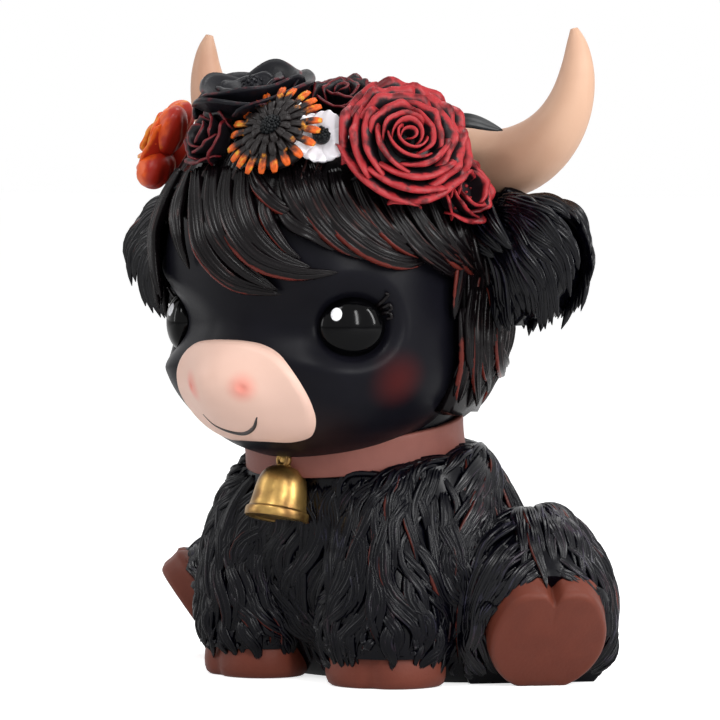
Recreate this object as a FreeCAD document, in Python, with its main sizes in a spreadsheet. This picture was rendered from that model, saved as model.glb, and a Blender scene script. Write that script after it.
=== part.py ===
# Seated long-haired cow figurine: painted resin castings glued together, with a crown of
# cast flowers, two horns, a collar and a small bell.
# The cow faces -Y, +X is its own left side, and Z = 0 is the surface it sits on.
import FreeCAD, Part
import Sketcher
import math
import os
from FreeCAD import Vector

os.makedirs("parts", exist_ok=True)
doc = FreeCAD.newDocument("cow_figurine")

# Driving dimensions, in millimetres and degrees.
dimensions = {
    # body casting
    "torso_height": 62,
    "torso_half_width": 42,
    "torso_half_depth": 31.5,
    "torso_setback": 9,
    # forelegs and their hooves
    "foreleg_spread": 19.4,
    "foreleg_forward": 14.2,
    "foreleg_splay": 20,
    "foreleg_half_width": 14.6,
    "foreleg_half_depth": 12.6,
    "foreleg_height": 50,
    "fore_hoof_half_width": 14,
    "fore_hoof_half_depth": 11.6,
    "fore_hoof_height": 11,
    "fur_hem": 7,
    # hind legs, which lie out to the sides with their soles forward
    "hind_splay": 50,
    "thigh_spread": 41,
    "thigh_setback": 12,
    "thigh_half_length": 22,
    "thigh_half_width": 18,
    "thigh_height": 40,
    "sole_spread": 53.6,
    "sole_setback": 2.4,
    "sole_lift": 10.6,
    "sole_tilt": 36,
    "sole_half_length": 15.2,
    "lobe_half_width": 9.6,
    "lobe_offset": 3.6,
    "lobe_tilt": 10,
    "hind_hoof_depth": 5.5,
    # tail
    "tail_root_level": 27,
    "tail_half_width": 5.5,
    "tail_sweep": 13,
    "tail_stand_off": 3,
    # head casting
    "head_forward": 15.8,
    "head_sink": 10.5,
    "head_height": 74,
    "head_half_width": 36,
    "head_half_depth": 35,
    "neck_peg_forward": 8,
    "neck_peg_radius": 9,
    "neck_peg_length": 9,
    "glue_gap": 0.15,
    # muzzle
    "muzzle_forward": 14.2,
    "muzzle_level": 21.5,
    "muzzle_half_width": 25.5,
    "muzzle_half_depth": 22.6,
    "muzzle_half_height": 22,
    "pad_level": 13.5,
    "pad_half_width": 19.4,
    "pad_above": 14.4,
    "pad_below": 10.5,
    "nostril_spread": 7.55,
    "nostril_level": 17.2,
    "nostril_radius": 2.4,
    "nostril_sink": 0.5,
    # eyes and lashes
    "eye_bearing": 55,
    "eye_facing": 48,
    "eye_level": 31.6,
    "eye_recess": 5.6,
    "eye_half_width": 7.1,
    "eye_half_height": 6.5,
    "eye_half_depth": 3.6,
    "socket_half_width": 12.5,
    "socket_half_height": 13,
    "socket_half_depth": 7,
    "socket_stand_off": 3,
    "lash_length": 3.4,
    "lash_radius": 0.45,
    "lash_count": 3,
    "lash_offset": 6.5,
    "lash_level": 1.4,
    "lash_pitch": 2.2,
    # hair
    "hair_side_cover": 3,
    "fringe_cover": 2.4,
    "nape_cover": 13.8,
    "hair_drop": 1.5,
    "hair_height": 80,
    "hairline_level": 53,
    "hairline_setback": 13.8,
    "tip_width": 12,
    "tip_drop": 12,
    # ears
    "ear_rise": 43.5,
    "ear_setback": 3.4,
    "ear_turn": 8,
    "ear_reach": 72.6,
    "ear_length": 38,
    "ear_height": 36,
    "ear_half_thickness": 7,
    "ear_hollow_depth": 3,
    "ear_peg_radius": 2.2,
    "ear_peg_length": 6,
    # horns
    "horn_setback": 9.5,
    "horn_spread": 32.4,
    "horn_rise": 90.5,
    "horn_curve_radius": 23.6,
    "horn_root_angle": -112,
    "horn_tip_angle": 17,
    "horn_radius": 8.2,
    "horn_peg_radius": 3.4,
    "horn_peg_length": 7,
    # collar
    "collar_radius": 25.5,
    "collar_thickness": 2,
    "collar_height": 8,
    "collar_tilt": 8,
    "collar_rise": 3,
    "collar_forward": 2,
    # bell
    "bell_height": 12.5,
    "bell_mouth_radius": 7.9,
    "bell_lean": 15,
    "bell_forward": 26.4,
    "bell_drop": 4.7,
    "bell_mouth_depth": 2.8,
    "bell_wall": 1.2,
    "loop_radius": 2.5,
    "loop_wire_radius": 0.8,
    # flowers
    "large_rose_radius": 16,
    "large_rose_height": 9.5,
    "small_rose_radius": 7.6,
    "small_rose_height": 5,
    "rear_rose_radius": 9,
    "rear_rose_height": 5.5,
    "dark_rose_radius": 6.6,
    "dark_rose_height": 5,
    "poppy_radius": 15,
    "poppy_height": 9,
    "orange_flower_radius": 11,
    "orange_flower_height": 10.5,
    "gerbera_radius": 11.6,
    "gerbera_height": 6,
    "gerbera_petals": 20,
    "gerbera_petal_width": 2,
    "gerbera_petal_thickness": 1.3,
    "anemone_radius": 6,
    "anemone_height": 4.2,
    "anemone_petals": 6,
    "anemone_petal_width": 5,
    "anemone_petal_thickness": 1.1,
    "anemone_centre_radius": 2.3,
    "petal_thickness": 0.9,
    "leaf_half_width": 4.4,
    "leaf_half_thickness": 0.8,
    # how far a cutting block runs past what it cuts
    "overrun": 60,
}

# Levels above the ground, worked out so that each piece follows the one that carries it.
levels = {
    "head_base": "=torso_height - head_sink",
    "hair_bottom": "=head_base - hair_drop",
    "ear_level": "=head_base + ear_rise",
    "horn_level": "=head_base + horn_rise",
    "collar_level": "=head_base + collar_rise",
    "bell_top_level": "=collar_level - bell_drop",
}

sheet = doc.addObject("Spreadsheet::Sheet", "sizes")
for row, (name, value) in enumerate({**dimensions, **levels}.items(), start=1):
    sheet.set(f"A{row}", name)
    sheet.set(f"B{row}", str(value))
    sheet.setAlias(f"B{row}", name)
doc.recompute()


def read(name):
    return float(sheet.get(name))


def number(rule):
    return float(sheet.evalExpression(rule))


def bind(piece, **rules):
    for prop, rule in rules.items():
        piece.setExpression(prop, rule)
    return piece


def place(piece, x="0", y="0", z="0", yaw="0", pitch="0", roll="0"):
    spot = f"vector({x}; {y}; {z})"
    turn = f"rotation({yaw}; {pitch}; {roll})"
    piece.setExpression("Placement", f"placement({spot}; {turn})")
    return piece


def shaped(name, shape):
    piece = doc.addObject("Part::Feature", name)
    piece.Shape = shape
    return piece


def cut(name, base, *tools):
    for index, tool in enumerate(tools):
        step = "" if tool is tools[-1] else f"_step_{index}"
        result = doc.addObject("Part::Cut", name + step)
        result.Base = base
        result.Tool = tool
        base = result
    return base


def fuse(name, *pieces):
    result = doc.addObject("Part::MultiFuse", name)
    result.Shapes = list(pieces)
    return result


def common(name, *pieces):
    result = doc.addObject("Part::MultiCommon", name)
    result.Shapes = list(pieces)
    return result


def mirrored(name, source):
    twin = doc.addObject("Part::Mirroring", name)
    twin.Source = source
    twin.Normal = Vector(1, 0, 0)
    return twin


# The main piece of a trimmed casting, without the slivers left beyond its neighbours.
def main_piece(name, trimmed):
    doc.recompute()
    return shaped(f"{name}_casting", max(trimmed.Shape.Solids, key=lambda solid: solid.Volume))


nodes = {}


def keep(label, piece):
    piece.Label = label
    nodes[label] = piece
    return piece


# A smooth closed oval round a centre, through evenly turned points.
def oval(centre, side, ahead, half_width, half_depth, points=12):
    spots = []
    for index in range(points):
        angle = 2 * math.pi * index / points
        spots.append(centre + side * half_width * math.cos(angle) + ahead * half_depth * math.sin(angle))
    curve = Part.BSplineCurve()
    curve.interpolate(spots, PeriodicFlag=True)
    return Part.Wire(curve.toShape())


# A level oval ring of a casting, round a centre on the middle plane.
def ring(height, centre_y, half_width, half_depth):
    centre = Vector(0, centre_y, height)
    return oval(centre, Vector(1, 0, 0), Vector(0, 1, 0), half_width, half_depth)


# A casting that swells and tapers upwards through oval rings.
def stack(rings):
    return Part.makeLoft([ring(*spot) for spot in rings], True)


# A curved tapering lock, tuft or leaf. Its path is a Bezier curve, its sections are ovals
# that lie flat against the given outward direction, and it ends in a point.
def lock(path, half_width, half_thickness, outward, swell_shares):
    curve = Part.BezierCurve()
    curve.setPoles(path)
    sections = []
    for share, swell in swell_shares:
        tangent = curve.tangent(share)[0]
        side = tangent.cross(outward).normalize()
        normal = side.cross(tangent).normalize()
        sections.append(oval(curve.value(share), side, normal, half_width * swell,
                             half_thickness * swell))
    sections.append(Part.Vertex(curve.value(1)))
    return Part.makeLoft(sections, True)


def ellipsoid(name, half_width, half_depth, half_height):
    piece = doc.addObject("Part::Ellipsoid", name)
    return bind(piece, Radius2=half_width, Radius3=half_depth, Radius1=half_height)


def origin_plane(body, role):
    return next(feature for feature in body.Origin.OriginFeatures if feature.Role == role)


# A closed outline of straight lines whose corners are held by the sheet.
def outline(body, name, plane, corners):
    sketch = body.newObject("Sketcher::SketchObject", name)
    sketch.AttachmentSupport = (origin_plane(body, plane), [""])
    sketch.MapMode = "FlatFace"
    spots = [Vector(number(x), number(y), 0) for x, y in corners]
    count = len(spots)
    for index, spot in enumerate(spots):
        sketch.addGeometry(Part.LineSegment(spot, spots[(index + 1) % count]), False)
    for index in range(count):
        sketch.addConstraint(Sketcher.Constraint("Coincident", index, 2, (index + 1) % count, 1))
    for index, rules in enumerate(corners):
        for direction, axis, rule in zip(("DistanceX", "DistanceY"), (-2, -1), rules):
            if rule == "0":
                sketch.addConstraint(Sketcher.Constraint("PointOnObject", index, 1, axis))
                continue
            place_of = Sketcher.Constraint(direction, -1, 1, index, 1, number(rule))
            held = sketch.addConstraint(place_of)
            sketch.setExpression(f"Constraints[{held}]", rule)
    return sketch


def revolved(body, name, sketch):
    feature = body.newObject("PartDesign::Revolution", name)
    feature.Profile = sketch
    feature.ReferenceAxis = (sketch, ["V_Axis"])
    feature.Angle = 360
    return feature


# Everything below the surface that the figurine sits on.
ground = doc.addObject("Part::Box", "ground_block")
bind(ground, Length="4 * sizes.overrun", Width="4 * sizes.overrun", Height="sizes.overrun")
place(ground, "-2 * sizes.overrun", "-2 * sizes.overrun", "-sizes.overrun")


# Body: height, setback, half width and half depth of each ring, as shares of the torso's own.
torso_ring_shares = [
    (0.00, 1.55, 0.86, 0.70),
    (0.10, 1.30, 0.955, 0.85),
    (0.25, 1.08, 1.00, 0.96),
    (0.40, 0.90, 0.985, 1.00),
    (0.53, 0.72, 0.91, 0.96),
    (0.66, 0.47, 0.815, 0.90),
    (0.76, 0.33, 0.75, 0.85),
    (0.88, 0.20, 0.67, 0.78),
    (1.00, 0.05, 0.58, 0.70),
]


def torso_mass():
    height = read("torso_height")
    setback = read("torso_setback")
    width = read("torso_half_width")
    depth = read("torso_half_depth")
    rings = [(height * up, setback * back, width * wide, depth * deep)
             for up, back, wide, deep in torso_ring_shares]
    return shaped("torso_mass", stack(rings))


# Head: height, half width and half depth shares from the chin to the crown.
head_ring_shares = [
    (0.00, 0.30),
    (0.025, 0.46),
    (0.08, 0.67),
    (0.16, 0.845),
    (0.26, 0.965),
    (0.36, 1.00),
    (0.48, 1.00),
    (0.60, 0.985),
    (0.74, 0.92),
    (0.86, 0.78),
    (0.95, 0.55),
    (1.00, 0.30),
]


def head_mass():
    base = read("head_base")
    height = read("head_height")
    centre = -read("head_forward")
    width = read("head_half_width")
    depth = read("head_half_depth")
    rings = [(base + height * up, centre, width * swell, depth * swell)
             for up, swell in head_ring_shares]
    return shaped("head_mass", stack(rings))


# Hair: an outer mass round the head, from the nape to the crown.
hair_ring_shares = [
    (0.00, 0.68),
    (0.10, 0.80),
    (0.20, 0.90),
    (0.30, 0.985),
    (0.42, 1.00),
    (0.56, 1.00),
    (0.69, 0.96),
    (0.78, 0.905),
    (0.86, 0.825),
    (0.92, 0.72),
    (0.97, 0.54),
    (1.00, 0.30),
]
hair_front = "(sizes.head_forward + sizes.head_half_depth + sizes.fringe_cover)"
hair_back = "(sizes.head_half_depth - sizes.head_forward + sizes.nape_cover)"
hair_centre = f"(({hair_back} - {hair_front}) / 2)"
hair_half_depth = f"(({hair_back} + {hair_front}) / 2)"
hair_half_width = "(sizes.head_half_width + sizes.hair_side_cover)"


def hair_mass():
    base = read("hair_bottom")
    height = read("hair_height")
    centre = number(hair_centre)
    width = number(hair_half_width)
    depth = number(hair_half_depth)
    rings = [(base + height * up, centre, width * swell, depth * swell)
             for up, swell in hair_ring_shares]
    return shaped("hair_mass", stack(rings))


# Fringe tips: bearing round the head from straight ahead, sideways sweep and length of each
# tip, the last two as shares of the tip's width and drop.
fringe_tip_shares = [
    (-84, -0.3, 1.0),
    (-62, -0.4, 1.25),
    (-42, 0.3, 1.1),
    (-22, 0.5, 0.7),
    (-4, 0.4, 0.9),
    (14, 0.5, 1.15),
    (30, 0.6, 1.2),
    (46, 0.7, 0.9),
    (62, 0.6, 0.75),
    (78, 0.6, 0.6),
    (95, 0.5, 0.75),
]


# The face opening in the hair, cut through from side to side, less the tips that hang in it.
def face_opening():
    run = read("overrun")
    edge_y = read("hairline_setback") - read("head_forward")
    edge_z = read("head_base") + read("hairline_level")
    block = Part.makeBox(2 * run, 2 * run, 2 * run, Vector(-run, edge_y - 2 * run, edge_z - 2 * run))
    width = read("tip_width")
    drop = read("tip_drop")
    tips = []
    for bearing, sweep, length in fringe_tip_shares:
        left = Vector(0, -width / 2, width)
        right = Vector(0, width / 2, width)
        tip = Vector(0, width * sweep, -drop * length)
        left_bend = Vector(0, width * (sweep - 1) / 4, -drop * length * 3 / 5)
        right_bend = Vector(0, width * (sweep + 1) / 2, -drop * length * 2 / 5)
        wire = Part.Wire([
            Part.Arc(left, left_bend, tip).toShape(),
            Part.Arc(tip, right_bend, right).toShape(),
            Part.LineSegment(right, left).toShape()])
        prism = Part.Face(wire).extrude(Vector(run, 0, 0))
        prism.rotate(Vector(0, 0, 0), Vector(0, 0, 1), bearing - 90)
        prism.translate(Vector(0, -read("head_forward"), edge_z))
        tips.append(prism)
    return shaped("face_opening", block.cut(tips))


def build_hooves():
    shares = [(0.00, 0.86), (0.10, 0.955), (0.28, 1.00), (0.60, 0.985), (1.00, 0.90)]
    height = read("fore_hoof_height")
    width = read("fore_hoof_half_width")
    depth = read("fore_hoof_half_depth")
    fore = shaped("fore_hoof_casting",
                  stack([(height * up, 0, width * swell, depth * swell) for up, swell in shares]))
    place(fore, "sizes.foreleg_spread", "-sizes.foreleg_forward", "0", "sizes.foreleg_splay")

    lobes = []
    for side, sign in (("outer", 1), ("inner", -1)):
        oval = doc.addObject("Part::Ellipse", f"{side}_lobe_oval")
        bind(oval, MajorRadius="sizes.sole_half_length", MinorRadius="sizes.lobe_half_width")
        place(oval, "0", f"{sign} * sizes.lobe_offset", "-sizes.hind_hoof_depth",
              f"{-sign} * sizes.lobe_tilt")
        lobe = doc.addObject("Part::Extrusion", f"{side}_lobe")
        lobe.Base = oval
        lobe.Dir = Vector(0, 0, 1)
        lobe.DirMode = "Custom"
        lobe.Solid = True
        bind(lobe, LengthFwd="sizes.hind_hoof_depth")
        lobes.append(lobe)
    hoof = fuse("hind_hoof_casting", *lobes)
    sole_place = ("sizes.sole_spread", "sizes.sole_setback", "sizes.sole_lift",
                  "sizes.hind_splay - 90", "90 + sizes.sole_tilt")
    place(hoof, *sole_place)
    front = doc.addObject("Part::Box", "hind_sole_front")
    bind(front, Length="2 * sizes.overrun", Width="2 * sizes.overrun", Height="sizes.overrun")
    place(front, "-sizes.overrun", "-sizes.overrun", "-sizes.hind_hoof_depth")
    room = doc.addObject("Part::Compound", "hind_sole_room")
    room.Links = [front]
    place(room, *sole_place)
    return fore, hoof, room


def build_head():
    mass = head_mass()
    bearing = "sizes.eye_bearing"
    reach = "(sizes.head_half_width - sizes.eye_recess)"
    reach_y = "(sizes.head_half_depth - sizes.eye_recess)"
    level = "sizes.head_base + sizes.eye_level"
    eye = ellipsoid("eye_casting", "sizes.eye_half_width", "sizes.eye_half_depth",
                    "sizes.eye_half_height")
    place(eye, f"{reach} * sin({bearing})", f"-sizes.head_forward - {reach_y} * cos({bearing})",
          level, "sizes.eye_facing")
    out = "(sizes.head_half_width + sizes.socket_stand_off)"
    out_y = "(sizes.head_half_depth + sizes.socket_stand_off)"
    socket = ellipsoid("eye_hollow", "sizes.socket_half_width", "sizes.socket_half_depth",
                       "sizes.socket_half_height")
    place(socket, f"{out} * sin({bearing})", f"-sizes.head_forward - {out_y} * cos({bearing})",
          level, bearing)
    eye_right = mirrored("right_eye_casting", eye)
    socket_right = mirrored("right_eye_hollow", socket)
    keep("left_eye", eye)
    keep("right_eye", eye_right)

    peg = doc.addObject("Part::Cylinder", "neck_peg")
    bind(peg, Radius="sizes.neck_peg_radius", Height="2 * sizes.neck_peg_length")
    place(peg, "0", "-sizes.neck_peg_forward", "sizes.head_base - sizes.neck_peg_length")
    hollowed = cut("head_hollowed", mass, socket, socket_right, eye, eye_right)
    head = keep("head", fuse("head_casting", hollowed, peg))
    return mass, head


def build_torso(head_solid, collar_room):
    socket = doc.addObject("Part::Cylinder", "neck_socket")
    bind(socket, Radius="sizes.neck_peg_radius + sizes.glue_gap",
         Height="2 * sizes.neck_peg_length + sizes.glue_gap")
    place(socket, "0", "-sizes.neck_peg_forward",
          "sizes.head_base - sizes.neck_peg_length - sizes.glue_gap")
    return cut("torso_form", torso_mass(), collar_room, head_solid, socket)


# The forelegs sit in pockets of the torso, and the hind legs are glued against its sides.
def build_legs(torso_form, collar_room, fore_hoof, hind_hoof, sole_room):
    height = read("foreleg_height")
    width = read("foreleg_half_width")
    depth = read("foreleg_half_depth")
    hem = read("fur_hem")
    shares = [(0.00, 0.97), (0.08, 1.00), (0.30, 0.97), (0.60, 0.80), (0.85, 0.50), (1.00, 0.20)]
    rings = [(hem + (height - hem) * up, 0, width * swell, depth * swell) for up, swell in shares]
    foreleg = shaped("foreleg_mass", stack(rings))
    place(foreleg, "sizes.foreleg_spread", "-sizes.foreleg_forward", "0", "sizes.foreleg_splay")
    right_mass = mirrored("right_foreleg_mass", foreleg)
    torso = keep("torso", cut("torso_casting", torso_form, foreleg, right_mass))
    foreleg = keep("left_foreleg", cut("foreleg_casting", foreleg, collar_room, fore_hoof))
    keep("right_foreleg", mirrored("right_foreleg_casting", foreleg))
    hoof = keep("left_fore_hoof", cut("fore_hoof_trimmed", fore_hoof, torso))
    keep("right_fore_hoof", mirrored("right_fore_hoof_casting", hoof))

    height = read("thigh_height")
    length = read("thigh_half_length")
    width = read("thigh_half_width")
    shares = [(0.00, 0.80), (0.12, 0.93), (0.32, 1.00), (0.52, 0.99), (0.72, 0.86), (0.87, 0.62),
              (0.96, 0.36), (1.00, 0.18)]
    rings = [(height * up, 0, length * swell, width * swell) for up, swell in shares]
    thigh = shaped("thigh_mass", stack(rings))
    place(thigh, "sizes.thigh_spread", "sizes.thigh_setback", "0", "sizes.hind_splay - 90")
    thigh = cut("thigh_casting", thigh, sole_room, torso_form)
    keep("left_hind_leg", thigh)
    keep("right_hind_leg", mirrored("right_thigh_casting", thigh))
    hoof = keep("left_hind_hoof", cut("hind_hoof_trimmed", hind_hoof, ground, torso_form))
    keep("right_hind_hoof", mirrored("right_hind_hoof_casting", hoof))
    return torso


def build_tail(torso):
    level = read("tail_root_level")
    back = read("torso_setback") + read("torso_half_depth")
    sweep = read("tail_sweep")
    stand_off = read("tail_stand_off")
    half_width = read("tail_half_width")
    path = [Vector(0, back - half_width, level + half_width), Vector(0, back + stand_off, level),
            Vector(sweep / 2, back + stand_off, level / 2),
            Vector(sweep, back + stand_off / 2, half_width / 2)]
    shares = [(0.00, 0.6), (0.30, 0.75), (0.60, 1.0), (0.85, 0.8)]
    tuft = shaped("tail_mass", lock(path, half_width, half_width * 3 / 4, Vector(0, 1, 0), shares))
    keep("tail", cut("tail_casting", tuft, torso, ground))


def build_muzzle(head_solid):
    level = "sizes.head_base + sizes.muzzle_level"
    front = "-sizes.head_forward - sizes.muzzle_forward"
    snout = ellipsoid("snout_mass", "sizes.muzzle_half_width", "sizes.muzzle_half_depth",
                      "sizes.muzzle_half_height")
    place(snout, "0", front, level)
    depth = read("muzzle_half_depth")
    width = read("pad_half_width")
    spots = []
    for index in range(12):
        angle = math.pi * index / 6
        rise = read("pad_above") if index < 6 else read("pad_below")
        spots.append(Vector(width * math.cos(angle), 0, rise * math.sin(angle)))
    rim = Part.BSplineCurve()
    rim.interpolate(spots, PeriodicFlag=True)
    limit = Part.Face(Part.Wire(rim.toShape())).extrude(Vector(0, -2 * depth, 0))
    limit = shaped("pad_limit", limit)
    place(limit, "0", front, "sizes.head_base + sizes.pad_level")
    pad = common("muzzle_pad", snout, limit)
    across = "(sizes.nostril_spread / sizes.muzzle_half_width)"
    above = "((sizes.nostril_level - sizes.muzzle_level) / sizes.muzzle_half_height)"
    surface = f"(sizes.muzzle_half_depth * sqrt(1 - {across}^2 - {above}^2))"
    nostrils = []
    for side, sign in (("left", 1), ("right", -1)):
        dimple = doc.addObject("Part::Sphere", f"{side}_nostril")
        bind(dimple, Radius="sizes.nostril_radius")
        place(dimple, f"{sign} * sizes.nostril_spread",
              f"{front} - {surface} - sizes.nostril_radius + sizes.nostril_sink",
              "sizes.head_base + sizes.nostril_level")
        nostrils.append(dimple)
    keep("muzzle", cut("muzzle_casting", pad, head_solid, *nostrils))


# Short curled lashes rooted on the wall of the eye hollow, behind the eye.
def build_lashes(head):
    length = read("lash_length")
    radius = read("lash_radius")
    pitch = read("lash_pitch")
    bearing = math.radians(read("eye_bearing"))
    stand_off = read("socket_stand_off")
    outward = Vector(math.sin(bearing), -math.cos(bearing), 0)
    side = Vector(math.cos(bearing), math.sin(bearing), 0)
    middle = Vector((read("head_half_width") + stand_off) * outward.x,
                    (read("head_half_depth") + stand_off) * outward.y - read("head_forward"),
                    read("head_base") + read("eye_level"))
    lashes = []
    for step in range(int(read("lash_count"))):
        across = read("lash_offset") + step * pitch / 3
        above = read("lash_level") + (1 - step) * pitch
        spread = (across / read("socket_half_width"))**2 + (above / read("socket_half_height"))**2
        sink = read("socket_half_depth") * math.sqrt(1 - spread)
        foot = middle + side * across + Vector(0, 0, above) - outward * sink
        path = [foot - outward * 2 * radius, foot + outward * length / 3 + side * length / 3,
                foot + outward * length / 3 + side * length * 2 / 3 + Vector(0, 0, length / 2)]
        lashes.append(lock(path, radius, radius, outward, [(0.0, 1.0), (0.5, 0.8)]))
    group = shaped("lash_group", Part.makeCompound(lashes))
    group = cut("lash_casting", group, head)
    keep("left_lashes", group)
    keep("right_lashes", mirrored("right_lash_casting", group))


# Ear outline: how far out from the root and how far above the middle, as shares.
ear_top_shares = [(0.00, 0.30), (0.38, 0.50), (0.80, 0.29)]
ear_side_shares = [(0.80, 0.29), (1.00, -0.02), (0.86, -0.26)]
ear_tip_shares = [(0.78, -0.42), (0.71, -0.31), (0.62, -0.47), (0.54, -0.33), (0.41, -0.52),
                  (0.33, -0.35), (0.18, -0.44), (0.10, -0.30), (0.00, -0.30)]


def build_ears(hair_solid):
    length = read("ear_length")
    height = read("ear_height")
    root = read("ear_reach") - length
    thick = read("ear_half_thickness")

    def spot(share):
        return Vector(root + length * share[0], 0, height * share[1])

    edges = [Part.Arc(*[spot(share) for share in ear_top_shares]).toShape(),
             Part.Arc(*[spot(share) for share in ear_side_shares]).toShape()]
    corners = [ear_side_shares[-1]] + ear_tip_shares + [ear_top_shares[0]]
    for start, end in zip(corners, corners[1:]):
        edges.append(Part.LineSegment(spot(start), spot(end)).toShape())
    blank = Part.Face(Part.Wire(edges)).extrude(Vector(0, 4 * thick, 0))
    blank.translate(Vector(0, -2 * thick, 0))
    blank = shaped("ear_blank", blank)
    middle = "(sizes.ear_reach - sizes.ear_length * 13 / 20)"
    lens = ellipsoid("ear_lens", "sizes.ear_length * 7 / 10", "sizes.ear_half_thickness",
                     "sizes.ear_height * 11 / 20")
    place(lens, middle, "0", "0")
    hollow = ellipsoid("ear_hollow", "sizes.ear_length / 4", "sizes.ear_half_thickness",
                       "sizes.ear_height * 3 / 10")
    place(hollow, middle, "-2 * sizes.ear_half_thickness + sizes.ear_hollow_depth",
          "-sizes.ear_height / 20")
    form = cut("ear_form", common("ear_blade", blank, lens), hollow)
    turn = "-sizes.ear_turn"
    pivot = "(sizes.ear_reach - sizes.ear_length)"
    place(form, f"{pivot} * (1 - cos({turn}))", f"sizes.ear_setback - {pivot} * sin({turn})",
          "sizes.ear_level", turn)
    leaf = cut("ear_shape", form, hair_solid)
    peg = doc.addObject("Part::Cylinder", "ear_peg")
    start = f"{hair_half_width} - sizes.ear_peg_length"
    peg_length = f"sizes.ear_reach - sizes.ear_length * 4 / 5 - ({start})"
    bind(peg, Radius="sizes.ear_peg_radius", Height=peg_length)
    place(peg, start, "sizes.ear_setback", "sizes.ear_level", "0", "90")
    socket = doc.addObject("Part::Cylinder", "ear_socket")
    bind(socket, Radius="sizes.ear_peg_radius + sizes.glue_gap", Height=peg_length)
    place(socket, f"{start} - sizes.glue_gap", "sizes.ear_setback", "sizes.ear_level", "0", "90")
    ear = keep("left_ear", fuse("ear_casting", leaf, peg))
    keep("right_ear", mirrored("right_ear_casting", ear))
    return socket


def build_horns(hair_solid):
    curve = read("horn_curve_radius")
    root = math.radians(read("horn_root_angle"))
    sweep = math.radians(read("horn_tip_angle")) - root
    radius = read("horn_radius")
    shares = [(0.00, 1.00), (0.16, 1.00), (0.34, 0.92), (0.52, 0.78), (0.70, 0.61), (0.86, 0.41),
              (0.95, 0.25), (0.985, 0.14)]
    sections = []
    for along, swell in shares:
        angle = root + sweep * along
        spot = Vector(curve * math.cos(angle), 0, curve * math.sin(angle))
        direction = Vector(-math.sin(angle), 0, math.cos(angle))
        sections.append(Part.Wire(Part.makeCircle(radius * swell, spot, direction)))
    end = root + sweep
    sections.append(Part.Vertex(curve * math.cos(end), 0, curve * math.sin(end)))
    horn = shaped("horn_mass", Part.makeLoft(sections, True))
    place(horn, "sizes.horn_spread", "sizes.horn_setback", "sizes.horn_level")
    bare = cut("horn_shape", horn, hair_solid)
    level = "sizes.horn_level - sizes.horn_curve_radius"
    inner = "sizes.horn_spread - sizes.horn_radius - sizes.horn_peg_length"
    peg = doc.addObject("Part::Cylinder", "horn_peg")
    bind(peg, Radius="sizes.horn_peg_radius", Height="sizes.horn_radius + sizes.horn_peg_length")
    place(peg, inner, "sizes.horn_setback", level, "0", "90")
    socket = doc.addObject("Part::Cylinder", "horn_socket")
    bind(socket, Radius="sizes.horn_peg_radius + sizes.glue_gap",
         Height="sizes.horn_radius + sizes.horn_peg_length")
    place(socket, f"{inner} - sizes.glue_gap", "sizes.horn_setback", level, "0", "90")
    horn = keep("left_horn", fuse("horn_casting", bare, peg))
    keep("right_horn", mirrored("right_horn_casting", horn))
    return socket


def build_hair(mass, head_solid, torso, collar, sockets):
    shell = cut("hair_shell", mass, face_opening(), head_solid, torso, collar, *sockets)
    front = doc.addObject("Part::Box", "front_block")
    bind(front, Length="4 * sizes.overrun", Width="2 * sizes.overrun", Height="4 * sizes.overrun")
    place(front, "-2 * sizes.overrun", f"{hair_centre} - 2 * sizes.overrun", "0")
    keep("fringe", common("fringe_casting", shell, front))
    keep("hair_cap", main_piece("hair_cap", cut("hair_cap_trimmed", shell, front)))


def build_collar(head_solid):
    body = doc.addObject("PartDesign::Body", "collar_band")
    inner = "sizes.collar_radius - sizes.collar_thickness"
    half = "sizes.collar_height / 2"
    sketch = outline(body, "collar_section", "XZ_Plane", [
        (inner, f"-{half}"), ("sizes.collar_radius", f"-{half}"),
        ("sizes.collar_radius", half), (inner, half)])
    revolved(body, "collar_ring", sketch)
    place(body, "0", "-sizes.collar_forward", "sizes.collar_level", "0", "0", "sizes.collar_tilt")

    around = doc.addObject("Part::Cylinder", "collar_room_outer")
    bind(around, Radius="2 * sizes.collar_radius", Height="sizes.overrun")
    neck = doc.addObject("Part::Cylinder", "collar_room_inner")
    bind(neck, Radius=inner, Height="sizes.overrun")
    room = cut("collar_room", around, neck)
    place(room, "0", f"-sizes.collar_forward - {half} * sin(-sizes.collar_tilt)",
          f"sizes.collar_level - {half} * cos(sizes.collar_tilt)", "0", "0", "sizes.collar_tilt")
    return keep("collar", cut("collar_casting", body, head_solid)), room


# Bell outline from the top round the shoulder and waist to the lip: radius and drop shares.
bell_top_shares = [(0, 0), (0.47, 0.09), (0.70, 0.30)]
bell_side_shares = [(0.70, 0.30), (0.79, 0.55), (0.90, 0.78)]
bell_lip_shares = [(0.90, 0.78), (0.97, 0.785), (1.00, 0.82)]


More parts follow.
